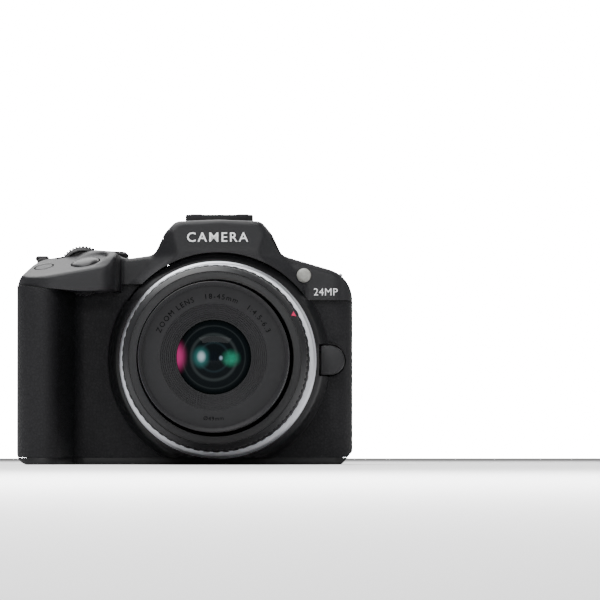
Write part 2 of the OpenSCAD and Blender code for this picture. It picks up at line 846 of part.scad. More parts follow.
// Rear buttons as [x, z, radius]
rear_buttons = [[-38, 12, 2.7], [-37.5, 49, 2.7], [-50, 12, 2.7], [-51.8, 53.4, 2.4], [-60.6, 52.4, 2.4]];
pad_x = -49.5;
pad_z = 30;
pad_r = 10.2;
set_r = 4.4;

module rear_button(i) {
    b = rear_buttons[i];
    color(black) {
        rod_y(b[0], b[1], b[2], 15.6, rear_d + 0.8);
        rod_y(b[0], b[1], b[2] + 0.7, 15.4, 16.4);
    }
}

module cross_pad() {
    color(black) difference() {
        union() {
            rod_y(pad_x, pad_z, pad_r, 15.6, rear_d + 1);
            rod_y(pad_x, pad_z, pad_r + 0.7, 15.4, 16.4);
        }
        rod_y(pad_x, pad_z, set_r + play, 10, far);
    }
}

module set_button() {
    color(black) {
        rod_y(pad_x, pad_z, set_r, 15.2, rear_d + 0.7);
        rod_y(pad_x, pad_z, set_r + 1, 13.4, 14.4);
        rod_y(pad_x, pad_z, 1.5, 14.3, 15.3);
    }
}

// ---- screen -----------------------------------------------------------------------

screen_floor = 15;   // Y of the recess that the screen folds into
screen_y0 = screen_floor + play;
screen_z0 = 4.9;
screen_z1 = screen_z0 + screen_h;
knuckle_r = screen_t / 2 - 0.1;
swing_x = right - 2.6;
swing_y = screen_y0 + screen_t / 2;
screen_x1 = swing_x - knuckle_r - play - 0.05;
screen_x0 = screen_x1 - screen_w;
hinge_h = 17;
knuckle_h = (screen_h - hinge_h) / 2 - play;
hinge_z0 = screen_z0 + knuckle_h + play;
hinge_z1 = hinge_z0 + hinge_h;
glass_t = 0.9;

module screen_panel() {
    color(black) difference() {
        along_y(screen_y0, screen_y0 + screen_t) polygon(rounded([
            [screen_x0, screen_z0, 2.5], [screen_x0, screen_z1, 2.5],
            [screen_x1, screen_z1, 0.8], [screen_x1, screen_z0, 0.8]
        ]));
        // Seat of the glass, notch for the hinge arm
        block([screen_x0 + 1.6, screen_y0 + screen_t - glass_t - gap, screen_z0 + 1.6],
              [screen_x1 - 1.6, far, screen_z1 - 1.6]);
        block([screen_x1 - 6 - gap, 0, hinge_z0 - gap], [far, screen_y0 + screen_t - 1.6, hinge_z1 + gap]);
    }
}

module screen_glass() {
    color("#0c0d10") block([screen_x0 + 1.7, screen_y0 + screen_t - glass_t, screen_z0 + 1.7],
                           [screen_x1 - 1.7, screen_y0 + screen_t - 0.1, screen_z1 - 1.7]);
}

module screen_hinge() {
    color("#3b3c40") {
        difference() {
            union() {
                translate([swing_x, swing_y, hinge_z0]) cylinder(r = knuckle_r, h = hinge_h);
                block([screen_x1 - 6, swing_y - 1.3, hinge_z0], [swing_x, swing_y + 0.5, hinge_z1]);
            }
            translate([swing_x, swing_y, hinge_z0 - 1]) cylinder(r = 0.8 + gap, h = hinge_h + 2);
        }
    }
    // Pin through the knuckles
    color("silver") translate([swing_x, swing_y, screen_z0 + 0.5]) cylinder(r = 0.8, h = screen_h - 1);
}

// ---- lens -------------------------------------------------------------------------

module lens_mount() {
    color("#c4c6ca") difference() {
        union() {
            lens_ring(22.5, 32, gap, 1.6);
            lens_ring(22.5, 25.6, -4.8, gap + 0.1);
            for (a = [12, 132, 252]) intersection() {
                lens_ring(25.4, 26.6, -4.6, -3.1);
                translate([0, 0, lens_z]) rotate([90, a, 0]) linear_extrude(far)
                    polygon([[0, 0], far * [cos(0), sin(0)], far * [cos(22), sin(22)], far * [cos(44), sin(44)]]);
            }
        }
        rod_y(pin_at, lens_z, 1.7, -far, 0);
    }
}

silver_h1 = 4.7;
module silver_ring() {
    color("#b9bbc0") turned([
        [31.2, 1.65], [lens_d / 2, 1.65], [lens_d / 2, silver_h1 - 0.9], [lens_d / 2 - 1.6, silver_h1], [31.2, silver_h1]
    ]);
}

base_h1 = 11.6;
zoom_h0 = base_h1 + 0.25;
zoom_h1 = 33.2;
control_h0 = zoom_h1 + 0.25;
module base_barrel() {
    color(black) {
        turned([
            [20.4, -4.8], [22.3, -4.8], [22.3, 1.7], [31.1, 1.7], [31.1, silver_h1 + gap], [31.9, silver_h1 + gap],
            [31.8, base_h1], [29.8, base_h1], [29.8, 39.8], [28.8, 39.8], [28.8, 7.2], [22.3, 4.9], [22.3, 18], [20.4, 18]
        ]);
        lens_ring(13.4, 20.6, -4.8, -3.6);
    }
}

module rear_glass() { color("#44505a") turned([[0, -4.6], [13.3, -4.6], [13.3, -3.2], [9, -1.9], [0, -1.4]]); }

module iris_unit() {
    color("#26262a") difference() {
        lens_ring(9, 20.35, 13, 17.5);
        lens_ring(0, 14.2, 14.4, 16.2);
    }
    // Seven blades round the aperture
    color("#101012") for (k = [0 : 6]) translate([0, flange_y - 15.1, lens_z]) rotate([0, k * 360 / 7, 0])
        rotate([90, 0, 0]) linear_extrude(0.12) polygon([
            [6.4, -2.9], [9, -4.3], [13.4, -2.2], [13.6, 0], [13, 3.1], [6.5, 2.8]
        ]);
    color("#3e4a52") turned([[0, 9.6], [8, 10], [8, 11.4], [0, 12.6]]);
}

module focus_cell() {
    color("#2a2a2e") turned([[10.2, 3.2], [15, 3.2], [15, 6.6], [10.2, 6.6]]);
    color("#3f5a58") turned([[0, 3.4], [10.1, 3.9], [10.1, 5.2], [0, 5.9]]);
}

module cam_tube() {
    color("#9c9ea2") difference() {
        lens_ring(27, 28.5, 9, 37);
        for (a = [30, 150, 270]) translate([0, flange_y - 22, lens_z]) rotate([0, a, 0])
            translate([28, 0, 0]) rotate([38, 0, 0]) cube([6, 24, 2.2], center = true);
    }
}

// Ring with n axial ribs outside and a bore inside
module ribbed_ring(r_bore, r_out, depth, n, h0, h1) {
    translate([0, flange_y, lens_z]) rotate([90, 0, 0]) difference() {
        knurled(r_out, depth, n, h0, h1);
        translate([0, 0, h0 - 1]) cylinder(r = r_bore, h = h1 - h0 + 2);
    }
}

module zoom_ring() {
    color(black) {
        ribbed_ring(29.8 + running, 32.2, 0.5, zoom_ribs, zoom_h0 + 2.5, zoom_h1 - 1.5);
        lens_ring(29.8 + running, 32, zoom_h0, zoom_h0 + 2.6);
        lens_ring(29.8 + running, 31.8, zoom_h1 - 1.6, zoom_h1);
    }
}

module control_ring() {
    color(satin) {
        ribbed_ring(29.8 + running, 31.6, 0.3, 96, control_h0, 39.4);
        turned([
            [26.7, 40.3], [29.8 + running, 40.3], [29.8 + running, 39.3], [31.3, 39.3],
            [31.3, 40.6], [29.6, 42.2], [29.6, 41.8], [29.3, 41.8], [29.3, 42.3], [26.7, 42.3]
        ]);
    }
}

barrel_r = 25.5;

// The inner barrel stands out by this much at rest, as when the camera is ready to use
extension = 20;
module extended() { translate([0, -extension, 0]) children(); }

module inner_barrel() {
    color(satin) turned([
        [filter_d / 2 - 0.1, 9.4], [barrel_r, 9.4], [barrel_r, lens_len - 0.3], [barrel_r - 0.4, lens_len],
        [filter_d / 2 + 0.3, lens_len], [filter_d / 2, lens_len - 0.4], [filter_d / 2, 41.2],
        [18.4, 41.2], [17, 40.6], [12.7, 37.6], [12.7, 28], [14, 28], [14, 36.8], [20, 39.6],
        [filter_d / 2 - 0.1, 39.6]
    ]);
}

module front_glass() {
    color("#1c2a30") turned([
        [0, 29.2], [9, 30.4], [12.6, 32.8], [12.6, 35], [10, 36.2], [6, 37.2], [3, 37.6], [0, 37.75]
    ]);
}

// ---- the part ---------------------------------------------------------------------

front_cover();
top_cover();
rear_cover();
base_cover();
grip_skin();
front_skin();
mount_ring();
screws();
body_contacts();
chassis();
shutter_unit();
image_sensor();
main_board();
hot_shoe();
shoe_base();
viewfinder_unit();
viewfinder_lens();
eyecup();
battery();
memory_card();
port_sockets();
strap_lugs();
af_lamp();
tripod_socket();
lens_mount();
silver_ring();
base_barrel();
iris_unit();
rear_glass();
cam_tube();
flash_head();
flash_window();
screen_hinge();
screen_panel();
screen_glass();
mode_dial();
main_dial();
power_lever();
shutter_button();
movie_button();
iso_button();
release_button();
lock_pin();
rear_button(0);  // menu_button
rear_button(1);  // info_button
rear_button(2);  // play_button
rear_button(3);  // lock_button
rear_button(4);  // point_button
cross_pad();
set_button();
battery_door();
door_latch();
jack_cover();
port_cover();
diopter_dial();
zoom_ring();
control_ring();
extended() inner_barrel();
extended() front_glass();
focus_cell();
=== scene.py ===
"""Mirrorless camera with a retracting zoom lens: the visible shells, rings, controls and finishes."""

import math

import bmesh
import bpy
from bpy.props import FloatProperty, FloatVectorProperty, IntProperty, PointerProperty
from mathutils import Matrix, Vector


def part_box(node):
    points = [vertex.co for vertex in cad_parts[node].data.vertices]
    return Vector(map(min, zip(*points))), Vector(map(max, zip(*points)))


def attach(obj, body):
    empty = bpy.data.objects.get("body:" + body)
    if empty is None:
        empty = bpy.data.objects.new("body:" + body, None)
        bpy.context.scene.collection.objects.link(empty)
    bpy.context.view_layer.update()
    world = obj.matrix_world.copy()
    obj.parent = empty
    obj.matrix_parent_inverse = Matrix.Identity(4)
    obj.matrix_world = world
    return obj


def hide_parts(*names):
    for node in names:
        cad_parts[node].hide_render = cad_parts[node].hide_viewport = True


bl_info = {
    "name": "Mirrorless camera",
    "version": (1, 0, 0),
    "blender": (4, 5, 0),
    "location": "View3D > Sidebar > Camera",
    "description": "Builds the camera's shells, lens rings, controls and materials on its packed frame",
    "category": "Object",
}

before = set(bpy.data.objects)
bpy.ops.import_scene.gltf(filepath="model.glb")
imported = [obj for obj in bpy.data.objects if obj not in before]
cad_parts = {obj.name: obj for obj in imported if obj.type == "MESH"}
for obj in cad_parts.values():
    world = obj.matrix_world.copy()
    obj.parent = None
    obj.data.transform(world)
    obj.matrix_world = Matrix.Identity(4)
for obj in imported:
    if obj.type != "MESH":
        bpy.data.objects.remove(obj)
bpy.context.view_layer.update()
MM = 0.001

# ---- places taken from the frame, in millimetres ---------------------------------


def box_mm(node):
    low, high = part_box(node)
    return [v / MM for v in low], [v / MM for v in high]


def middle(node, axis):
    low, high = box_mm(node)
    return (low[axis] + high[axis]) / 2


LENS_Z = middle("silver_ring", 2)
SILVER_R = (box_mm("silver_ring")[1][0] - box_mm("silver_ring")[0][0]) / 2
FLANGE_Y = box_mm("lens_mount")[1][1] - 4.8
LENS_LENGTH = 44.3     # flange to the front lip of the inner barrel, drawn in
LEFT = box_mm("grip_skin")[0][0]
RIGHT = box_mm("rear_cover")[1][0]
REAR_Y = box_mm("base_cover")[1][1]
GRIP_Y = box_mm("base_cover")[0][1]
SPLIT_Z = box_mm("top_cover")[0][2]
BASE_T = box_mm("base_cover")[1][2]
FRONT_Y = box_mm("front_skin")[0][1]

# ---- meshes ------------------------------------------------------------------------


def new_object(name, bm, merge=True):
    """Makes an object from a bmesh in millimetres, with its normals facing out."""
    if merge:
        bmesh.ops.remove_doubles(bm, verts=bm.verts, dist=1e-4)
    bmesh.ops.recalc_face_normals(bm, faces=bm.faces)
    bmesh.ops.scale(bm, vec=(MM, MM, MM), verts=bm.verts)
    mesh = bpy.data.meshes.new(name)
    bm.to_mesh(mesh)
    bm.free()
    obj = bpy.data.objects.new(name, mesh)
    bpy.context.scene.collection.objects.link(obj)
    return obj


def discard(obj):
    mesh = obj.data
    bpy.data.objects.remove(obj)
    if mesh.users == 0:
        bpy.data.meshes.remove(mesh)


def baked(obj):
    """Turns an object's modifiers into its own plain mesh."""
    depsgraph = bpy.context.evaluated_depsgraph_get()
    mesh = bpy.data.meshes.new_from_object(obj.evaluated_get(depsgraph))
    old = obj.data
    obj.modifiers.clear()
    obj.data = mesh
    mesh.name = obj.name
    if old.users == 0:
        bpy.data.meshes.remove(old)
    return obj


def boolean(obj, others, operation):
    for other in others:
        modifier = obj.modifiers.new("cut", "BOOLEAN")
        modifier.operation = operation
        modifier.solver = "MANIFOLD"
        modifier.object = other
        baked(obj)
        discard(other)
    return obj


def cut(obj, *others):
    return boolean(obj, others, "DIFFERENCE")


def keep(obj, other):
    return boolean(obj, [other], "INTERSECT")


def join(obj, *others):
    return boolean(obj, others, "UNION")


def copy(obj, name):
    twin = bpy.data.objects.new(name, obj.data.copy())
    bpy.context.scene.collection.objects.link(twin)
    return twin


def placed(obj, place):
    """Moves an object's mesh by a matrix given in millimetres."""
    obj.data.transform(Matrix.Scale(MM, 4) @ place @ Matrix.Scale(1 / MM, 4))
    return obj


def merged(name, objects):
    """One object holding the loose meshes of several."""
    bm = bmesh.new()
    for obj in objects:
        bm.from_mesh(obj.data)
    mesh = bpy.data.meshes.new(name)
    bm.to_mesh(mesh)
    bm.free()
    result = bpy.data.objects.new(name, mesh)
    bpy.context.scene.collection.objects.link(result)
    for obj in objects:
        discard(obj)
    return result


def softened(obj, voxel, rounds):
    """Fuses overlapping solids into one skin and rounds its edges."""
    remesh = obj.modifiers.new("fuse", "REMESH")
    remesh.mode = "VOXEL"
    remesh.voxel_size = voxel * MM
    smooth = obj.modifiers.new("round", "SMOOTH")
    smooth.factor = 0.5
    smooth.iterations = rounds
    return baked(obj)


def bevelled(obj, width, segments=2, angle=35):
    modifier = obj.modifiers.new("edge", "BEVEL")
    modifier.width = width * MM
    modifier.segments = segments
    modifier.limit_method = "ANGLE"
    modifier.angle_limit = math.radians(angle)
    modifier.use_clamp_overlap = True
    return baked(obj)


def rounded(corners, steps=8):
    """Outline through corners (x, y, radius), each rounded by an arc."""
    points = []
    count = len(corners)
    for i, (x, y, r) in enumerate(corners):
        here = Vector((x, y))
        u = (Vector(corners[i - 1][:2]) - here).normalized()
        v = (Vector(corners[(i + 1) % count][:2]) - here).normalized()
        half = math.acos(max(-1, min(1, u.dot(v)))) / 2
        centre = here + (u + v).normalized() * r / math.sin(half)
        first = here + u * r / math.tan(half) - centre
        last = here + v * r / math.tan(half) - centre
        start = math.atan2(first.y, first.x)
        turn = (math.atan2(last.y, last.x) - start + 3 * math.pi) % (2 * math.pi) - math.pi
        for k in range(steps + 1):
            a = start + turn * k / steps
            points.append(centre + r * Vector((math.cos(a), math.sin(a))))
    return points


def circle(x, y, r, steps=64):
    return [Vector((x + r * math.cos(2 * math.pi * k / steps), y + r * math.sin(2 * math.pi * k / steps)))
            for k in range(steps)]


PLACE = {
    "x": lambda p, t: (t, p[0], p[1]),
    "y": lambda p, t: (p[0], t, p[1]),
    "z": lambda p, t: (p[0], p[1], t),
}


def loft(name, loops):
    """Closed solid through loops of 3-D points, all with the same count."""
    bm = bmesh.new()
    rings = [[bm.verts.new(p) for p in loop] for loop in loops]
    for low, high in zip(rings, rings[1:]):
        for k in range(len(low)):
            j = (k + 1) % len(low)
            bm.faces.new((low[k], low[j], high[j], high[k]))
    bm.faces.new(rings[0])
    bm.faces.new(rings[-1])
    return new_object(name, bm, merge=False)


def prism(name, outline, axis, a, b):
    """Outline extruded along an axis, from a to b."""
    place = PLACE[axis]
    return loft(name, [[place(p, t) for p in outline] for t in (a, b)])


def block(name, low, high):
    outline = [(low[0], low[1]), (high[0], low[1]), (high[0], high[1]), (low[0], high[1])]
    return prism(name, outline, "z", low[2], high[2])


def hull(name, balls, steps=20):
    """Smallest convex solid round balls (x, y, z, radius)."""
    bm = bmesh.new()
    for x, y, z, r in balls:
        bmesh.ops.create_uvsphere(bm, u_segments=steps, v_segments=steps // 2 + 1, radius=r,
                                  matrix=Matrix.Translation((x, y, z)))
    result = bmesh.ops.convex_hull(bm, input=bm.verts)
    inside = {g for g in result["geom_interior"] + result["geom_unused"] if isinstance(g, bmesh.types.BMVert)}
    bmesh.ops.delete(bm, geom=list(inside), context="VERTS")
    return new_object(name, bm)


def turned(name, profile, place=None, steps=192):
    """Closed profile of (radius, height) points, turned about the local Z axis."""
    place = place or LENS
    bm = bmesh.new()
    ends = []
    for r, h in profile:
        count = 1 if r < 1e-6 else steps
        ring = [bm.verts.new((r * math.cos(2 * math.pi * k / steps), r * math.sin(2 * math.pi * k / steps),
                              h))
                for k in range(count)]
        ends.append(ring)
    for low, high in zip(ends, ends[1:] + ends[:1]):
        for k in range(steps):
            j = (k + 1) % steps
            corner = [low[k % len(low)], low[j % len(low)], high[j % len(high)], high[k % len(high)]]
            face = list(dict.fromkeys(corner))
            if len(face) > 2:
                bm.faces.new(face)
    bmesh.ops.transform(bm, matrix=place, verts=bm.verts)
    return new_object(name, bm, merge=False)


def rod(name, centre, radius, low, high, axis="y", steps=64):
    """Round bar along an axis; centre holds its two other coordinates."""
    return prism(name, circle(centre[0], centre[1], radius, steps), axis, low, high)


# The lens's own frame: heights run forward from the flange
LENS = Matrix.Translation((0, FLANGE_Y, LENS_Z)) @ Matrix.Rotation(math.radians(90), 4, "X")


# The inner barrel stands out at rest, by what its node says
EXTENDED = LENS @ Matrix.Translation((0, 0, FLANGE_Y - box_mm("inner_barrel")[0][1] - LENS_LENGTH))


# ---- shader nodes --------------------------------------------------------------------


class Value:
    """A shader socket that Python arithmetic turns into Math nodes."""

    def __init__(self, sheet, socket):
        self.sheet = sheet
        self.socket = socket

    def math(self, operation, other=None, swap=False, clamp=False):
        values = [self] if other is None else ([other, self] if swap else [self, other])
        return self.sheet.node("ShaderNodeMath", {"operation": operation, "use_clamp": clamp},
                               dict(enumerate(values)))[0]

    def __add__(self, other):
        return self.math("ADD", other)

    def __sub__(self, other):
        return self.math("SUBTRACT", other)

    def __rsub__(self, other):
        return self.math("SUBTRACT", other, swap=True)

    def __mul__(self, other):
        return self.math("MULTIPLY", other)

    def __truediv__(self, other):
        return self.math("DIVIDE", other)

    def __pow__(self, other):
        return self.math("POWER", other)

    def __gt__(self, other):
        return self.math("GREATER_THAN", other)

    __radd__ = __add__
    __rmul__ = __mul__

    def sin(self):
        return self.math("SINE")

    def steps(self, low, high):
        """0 below low, 1 above high, smooth between."""
        settings = {"interpolation_type": "SMOOTHSTEP"}
        return self.sheet.node("ShaderNodeMapRange", settings, {0: self, 1: low, 2: high, 3: 0.0, 4: 1.0})[0]


class Sheet:
    """One material's node tree."""

    def __init__(self, name):
        self.material = bpy.data.materials.new(name)
        self.material.use_nodes = True
        self.tree = self.material.node_tree
        self.tree.nodes.clear()
        self.out = self.tree.nodes.new("ShaderNodeOutputMaterial")

    def node(self, kind, settings=None, inputs=None):
        """Adds a node; returns its outputs, wrapped."""
        made = self.tree.nodes.new(kind)
        for key, value in (settings or {}).items():
            if key == "stops":
                ramp = made.color_ramp
                while len(ramp.elements) < len(value):
                    ramp.elements.new(0.5)
                for element, (position, colour) in zip(ramp.elements, value):
                    element.position = position
                    element.color = colour
            else:
                setattr(made, key, value)
        for key, value in (inputs or {}).items():
            if isinstance(value, Value):
                self.tree.links.new(value.socket, made.inputs[key])
            else:
                made.inputs[key].default_value = value
        return [Value(self, s) for s in made.outputs]

    def coords(self):
        return self.node("ShaderNodeTexCoord")[3]

    def axes(self):
        return self.node("ShaderNodeSeparateXYZ", {}, {0: self.coords()})

    def noise(self, size, detail=2.0, where=None):
        """Noise whose grains are about size millimetres across."""
        inputs = {"Vector": where or self.coords(), "Scale": 1 / (size * MM), "Detail": detail}
        return self.node("ShaderNodeTexNoise", {}, inputs)[0]

    def cells(self, size, feature="F1", randomness=1.0):
        inputs = {"Vector": self.coords(), "Scale": 1 / (size * MM), "Randomness": randomness}
        return self.node("ShaderNodeTexVoronoi", {"feature": feature}, inputs)[0]

    def blend(self, factor, a, b):
        settings = {"data_type": "RGBA", "blend_type": "MIX"}
        return self.node("ShaderNodeMix", settings, {0: factor, 6: a, 7: b})[2]

    def bump(self, height, depth, strength=1.0):
        return self.node("ShaderNodeBump", {}, {"Height": height, "Distance": depth * MM,
                                                "Strength": strength})[0]

    def finish(self, **inputs):
        names = {key.replace("_", " ").title().replace("Ior", "IOR"): value for key, value in inputs.items()}
        shader = self.node("ShaderNodeBsdfPrincipled", {}, names)[0]
        self.tree.links.new(shader.socket, self.out.inputs[0])
        return self.material


def rgba(colour, k=1.0):
    return (colour[0] * k, colour[1] * k, colour[2] * k, 1.0)


def moulded(name, colour, roughness, grain=0.35, depth=0.03, sheen=0.0, specular=0.3):
    """Moulded or painted plastic: a fine texture, slight shading of colour and gloss."""
    s = Sheet(name)
    broad = s.noise(18.0, 3.0)
    fine = s.noise(grain, 3.0)
    base = s.blend(broad, rgba(colour, 0.86), rgba(colour, 1.14))
    base = s.blend(fine.steps(0.35, 0.75) * 0.5, base, rgba(colour, 1.35))
    return s.finish(base_color=base, roughness=roughness + (broad - 0.5) * 0.08 + (fine - 0.5) * 0.10,
                    normal=s.bump(fine, depth), specular_ior_level=specular, sheen_weight=sheen)


def leatherette(name, colour):
    """Soft skin with a pebbled grain: rounded cells with creases between them, and painted shade that darkens
    the creases.
    """
    s = Sheet(name)
    pebble = s.cells(1.15, "SMOOTH_F1", 0.9)
    crease_and_painted_shade = s.cells(1.15, "DISTANCE_TO_EDGE", 0.9).steps(0.02, 0.22)
    fine = s.noise(0.22, 3.0)
    broad = s.noise(22.0, 2.0)
    height = crease_and_painted_shade * 0.75 - pebble * 0.35 + fine * 0.22
    # Painted shade: the colour is darker in the creases
    base = s.blend(crease_and_painted_shade, rgba(colour, 0.75), rgba(colour, 1.08))
    base = s.blend(broad * 0.4, base, rgba(colour, 1.25))
    return s.finish(base_color=base, roughness=0.64 - crease_and_painted_shade * 0.06 + (fine - 0.5) * 0.06,
                    normal=s.bump(height, 0.06, 0.8), specular_ior_level=0.24)


def turned_metal(name, colour, roughness, pitch=0.12, metallic=1.0, depth=0.004, specular=0.5):
    """Metal or plastic with lathe marks that run round the lens's axis."""
    s = Sheet(name)
    y = s.axes()[1]
    marks = (y * (2 * math.pi / (pitch * MM)) + s.noise(4.0) * 3.0).sin() * 0.5 + 0.5
    broad = s.noise(9.0, 3.0)
    base = s.blend(broad, rgba(colour, 0.92), rgba(colour, 1.08))
    return s.finish(base_color=base, metallic=metallic,
                    roughness=roughness + marks * 0.06 + (broad - 0.5) * 0.06,
                    normal=s.bump(marks, depth), specular_ior_level=specular)


def brushed(name, colour, roughness):
    """Sheet metal brushed along X, a little stained."""
    s = Sheet(name)
    stretched = s.node("ShaderNodeMapping", {}, {0: s.coords(), 3: (0.05, 1.0, 1.0)})[0]
    strokes = s.noise(0.12, 3.0, stretched)
    stain = s.noise(6.0, 3.0)
    base = s.blend(stain, rgba(colour, 0.85), rgba(colour, 1.1))
    return s.finish(base_color=base, metallic=1.0, roughness=roughness + strokes * 0.14,
                    normal=s.bump(strokes, 0.01))


def glass(name, colour, film, alpha_like=0.0, roughness=0.02):
    """Coated glass: nearly black inside, with a coloured film on its surface."""
    s = Sheet(name)
    dust = s.noise(1.6, 4.0).steps(0.62, 0.8)
    return s.finish(base_color=rgba(colour), roughness=roughness + dust * 0.03, ior=1.62,
                    transmission_weight=alpha_like, thin_film_thickness=film, thin_film_ior=1.38,
                    specular_ior_level=0.35)


def painted_reflection_glass(name):
    """Front element with painted reflections: the iris's rings, the coatings' magenta, teal and green, and
    the highlights are painted as emission, so the glass glows though it is no lamp.
    """
    s = Sheet(name)
    x, _, z = s.axes()
    u, v = x / MM, z / MM - LENS_Z

    # Soft oval patch where a painted reflection goes
    def spot(cx, cz, rx, rz):
        a, b = (u - cx) / rx, (v - cz) / rz
        return 1 - ((a * a + b * b) ** 0.5).steps(0.15, 1.0)

    # Thin painted ring seen in the glass
    def ring(radius, width):
        return 1 - ((u * u + v * v) ** 0.5 - radius).math("ABSOLUTE").steps(0.0, width)

    reflection_streaks = s.noise(1.3, 3.0)
    # Painted rings and painted reflections: grey and teal rings, a teal glow, a streaked green reflection,
    # two pale highlights, a dark pupil and a magenta crescent
    colour = s.blend(ring(7.7, 0.9) * 0.5 + ring(10.6, 0.4) * 0.3, (0.001, 0.002, 0.002, 1),
                     (0.05, 0.06, 0.06, 1))
    colour = s.blend(ring(4.9, 0.7) * 0.25, colour, (0.03, 0.06, 0.07, 1))
    colour = s.blend(spot(-4.4, 0.0, 3.8, 4.6), colour, (0.03, 0.15, 0.14, 1))
    colour = s.blend(spot(5.8, -0.4, 3.9, 3.7) * (reflection_streaks + 0.35), colour, (0.02, 0.24, 0.14, 1))
    colour = s.blend(spot(2.4, -0.3, 0.9, 1.1), colour, (0.25, 0.32, 0.40, 1))
    colour = s.blend(spot(-4.2, 0.2, 1.9, 2.5), colour, (0.42, 0.52, 0.58, 1))
    colour = s.blend(spot(0.0, 0.0, 2.3, 2.9), colour, (0.001, 0.002, 0.004, 1))
    colour = s.blend(spot(-12.4, 0.3, 4.4, 7.6) ** 1.7, colour, (0.46, 0.035, 0.17, 1))
    dust = s.noise(1.6, 4.0).steps(0.62, 0.8)
    # The painted reflections are the element's emission, so it glows
    return s.finish(base_color=(0.003, 0.004, 0.005, 1), roughness=0.04 + dust * 0.03, ior=1.6,
                    specular_ior_level=0.015, emission_color=colour,
                    emission_strength=1.0)


def printed(name, colour, roughness=0.45, specular=0.4):
    """Ink or paint of a mark: nearly even, a little thin in places."""
    s = Sheet(name)
    thin = s.noise(0.5, 3.0)
    base = s.blend(thin * 0.3, rgba(colour), rgba(colour, 0.85))
    return s.finish(base_color=base, roughness=roughness + (thin - 0.5) * 0.1, specular_ior_level=specular)


def circuit(name):
    """Green board: solder mask with tracks and lands."""
    s = Sheet(name)
    tracks = s.cells(2.4, "DISTANCE_TO_EDGE", 0.4).steps(0.05, 0.07)
    lands = 1 - s.cells(1.3, "F1", 0.2).steps(0.16, 0.2)
    base = s.blend(tracks, (0.02, 0.16, 0.06, 1), (0.01, 0.07, 0.03, 1))
    base = s.blend(lands, base, (0.72, 0.56, 0.25, 1))
    return s.finish(base_color=base, metallic=lands * 0.9, roughness=0.35, normal=s.bump(tracks, 0.02))


# ---- properties ----------------------------------------------------------------------


def colour_prop(name, description, default):
    return FloatVectorProperty(name=name, description=description, subtype="COLOR", size=3, min=0, max=1,
                               default=default)


def size_prop(name, description, default):
    return FloatProperty(name=name, description=description + ", in millimetres", default=default,
                         precision=2)


class CameraFinish(bpy.types.PropertyGroup):
    cover: colour_prop("Top cover", "Satin paint of the top cover", (0.0125, 0.0125, 0.0140))
    moulding: colour_prop("Mouldings", "Black moulded plastic", (0.0065, 0.0065, 0.0072))
    skin: colour_prop("Skin", "Grained skin of the grip and front", (0.0064, 0.0064, 0.0076))
    silver: colour_prop("Silver ring", "Satin metal of the lens's ring", (0.50, 0.51, 0.54))
    mark: colour_prop("Index mark", "Red mark on the lens", (0.62, 0.02, 0.10))
    print: colour_prop("Print", "White print on the body", (0.90, 0.90, 0.91))


class CameraSizes(bpy.types.PropertyGroup):
    voxel: size_prop("Skin detail", "Grain of the fused top cover", 0.55)
    skin_t: size_prop("Skin thickness", "Thickness of the grained skin", 0.8)
    wall: size_prop("Wall", "Thickness of the covers", 1.8)
    gap: size_prop("Parting gap", "Visible gap between covers", 0.12)
    zoom_ribs: IntProperty(name="Zoom ribs", description="Ribs round the zoom ring", default=60, min=24,
                           max=96)
    floor: size_prop("Floor", "Half width of the floor", 4000)


MATERIALS = {}


def make_materials(finish):
    """Builds every finish once, by name."""
    m = MATERIALS
    m["cover"] = moulded("satin_cover_paint", finish.cover, 0.42, grain=0.16, depth=0.008, specular=0.26)
    m["moulding"] = moulded("moulded_black", finish.moulding, 0.52, grain=0.40, depth=0.03)
    m["gloss"] = moulded("collar_black", (0.010, 0.010, 0.011), 0.33, grain=0.20, depth=0.004)
    m["skin"] = leatherette("grained_skin", finish.skin)
    m["rubber"] = moulded("soft_rubber", (0.014, 0.014, 0.014), 0.78, grain=0.30, depth=0.03, specular=0.3)
    m["silver"] = turned_metal("satin_silver", finish.silver, 0.30)
    m["barrel"] = turned_metal("barrel_black", (0.0060, 0.0060, 0.0072), 0.42, specular=0.28, metallic=0.0,
                               depth=0.002)
    m["bevel"] = turned_metal("bevel_black", (0.0105, 0.0108, 0.0120), 0.38, specular=0.34, metallic=0.0,
                              depth=0.002)
    m["plate"] = turned_metal("name_plate_black", (0.0125, 0.0125, 0.0138), 0.52, specular=0.22, metallic=0.0,
                              depth=0.0004)
    m["steel"] = brushed("brushed_steel", (0.62, 0.62, 0.64), 0.30)
    m["cast"] = brushed("cast_alloy", (0.42, 0.43, 0.45), 0.45)
    m["gold"] = brushed("plated_contact", (0.80, 0.60, 0.24), 0.22)
    m["screw"] = brushed("black_screw", (0.06, 0.06, 0.065), 0.38)
    # Front glass with painted reflections that glow
    m["front_glass"] = painted_reflection_glass("front_glass_coated")
    m["dark_steel"] = brushed("dark_steel", (0.10, 0.10, 0.105), 0.36)
    m["inner_glass"] = glass("inner_glass_coated", (0.004, 0.012, 0.010), 480.0)
    m["eyepiece"] = glass("eyepiece_coated", (0.008, 0.010, 0.018), 0.0, roughness=0.05)
    m["screen"] = glass("screen_cover", (0.004, 0.004, 0.005), 0.0, roughness=0.12)
    m["display"] = glass("display_dark", (0.006, 0.0065, 0.010), 0.0, roughness=0.16)
    m["lamp"] = moulded("frosted_lamp", (0.30, 0.30, 0.28), 0.35, grain=0.5, depth=0.03)
    m["print"] = printed("white_print", finish.print)
    m["grey_print"] = printed("grey_print", (0.35, 0.35, 0.36))
    m["black_print"] = printed("black_print", (0.0012, 0.0012, 0.0012), 0.85, 0.0)
    m["mark"] = printed("red_mark", finish.mark)
    m["circuit"] = circuit("circuit_board")
    m["inner"] = moulded("inner_plastic", (0.02, 0.02, 0.021), 0.6)


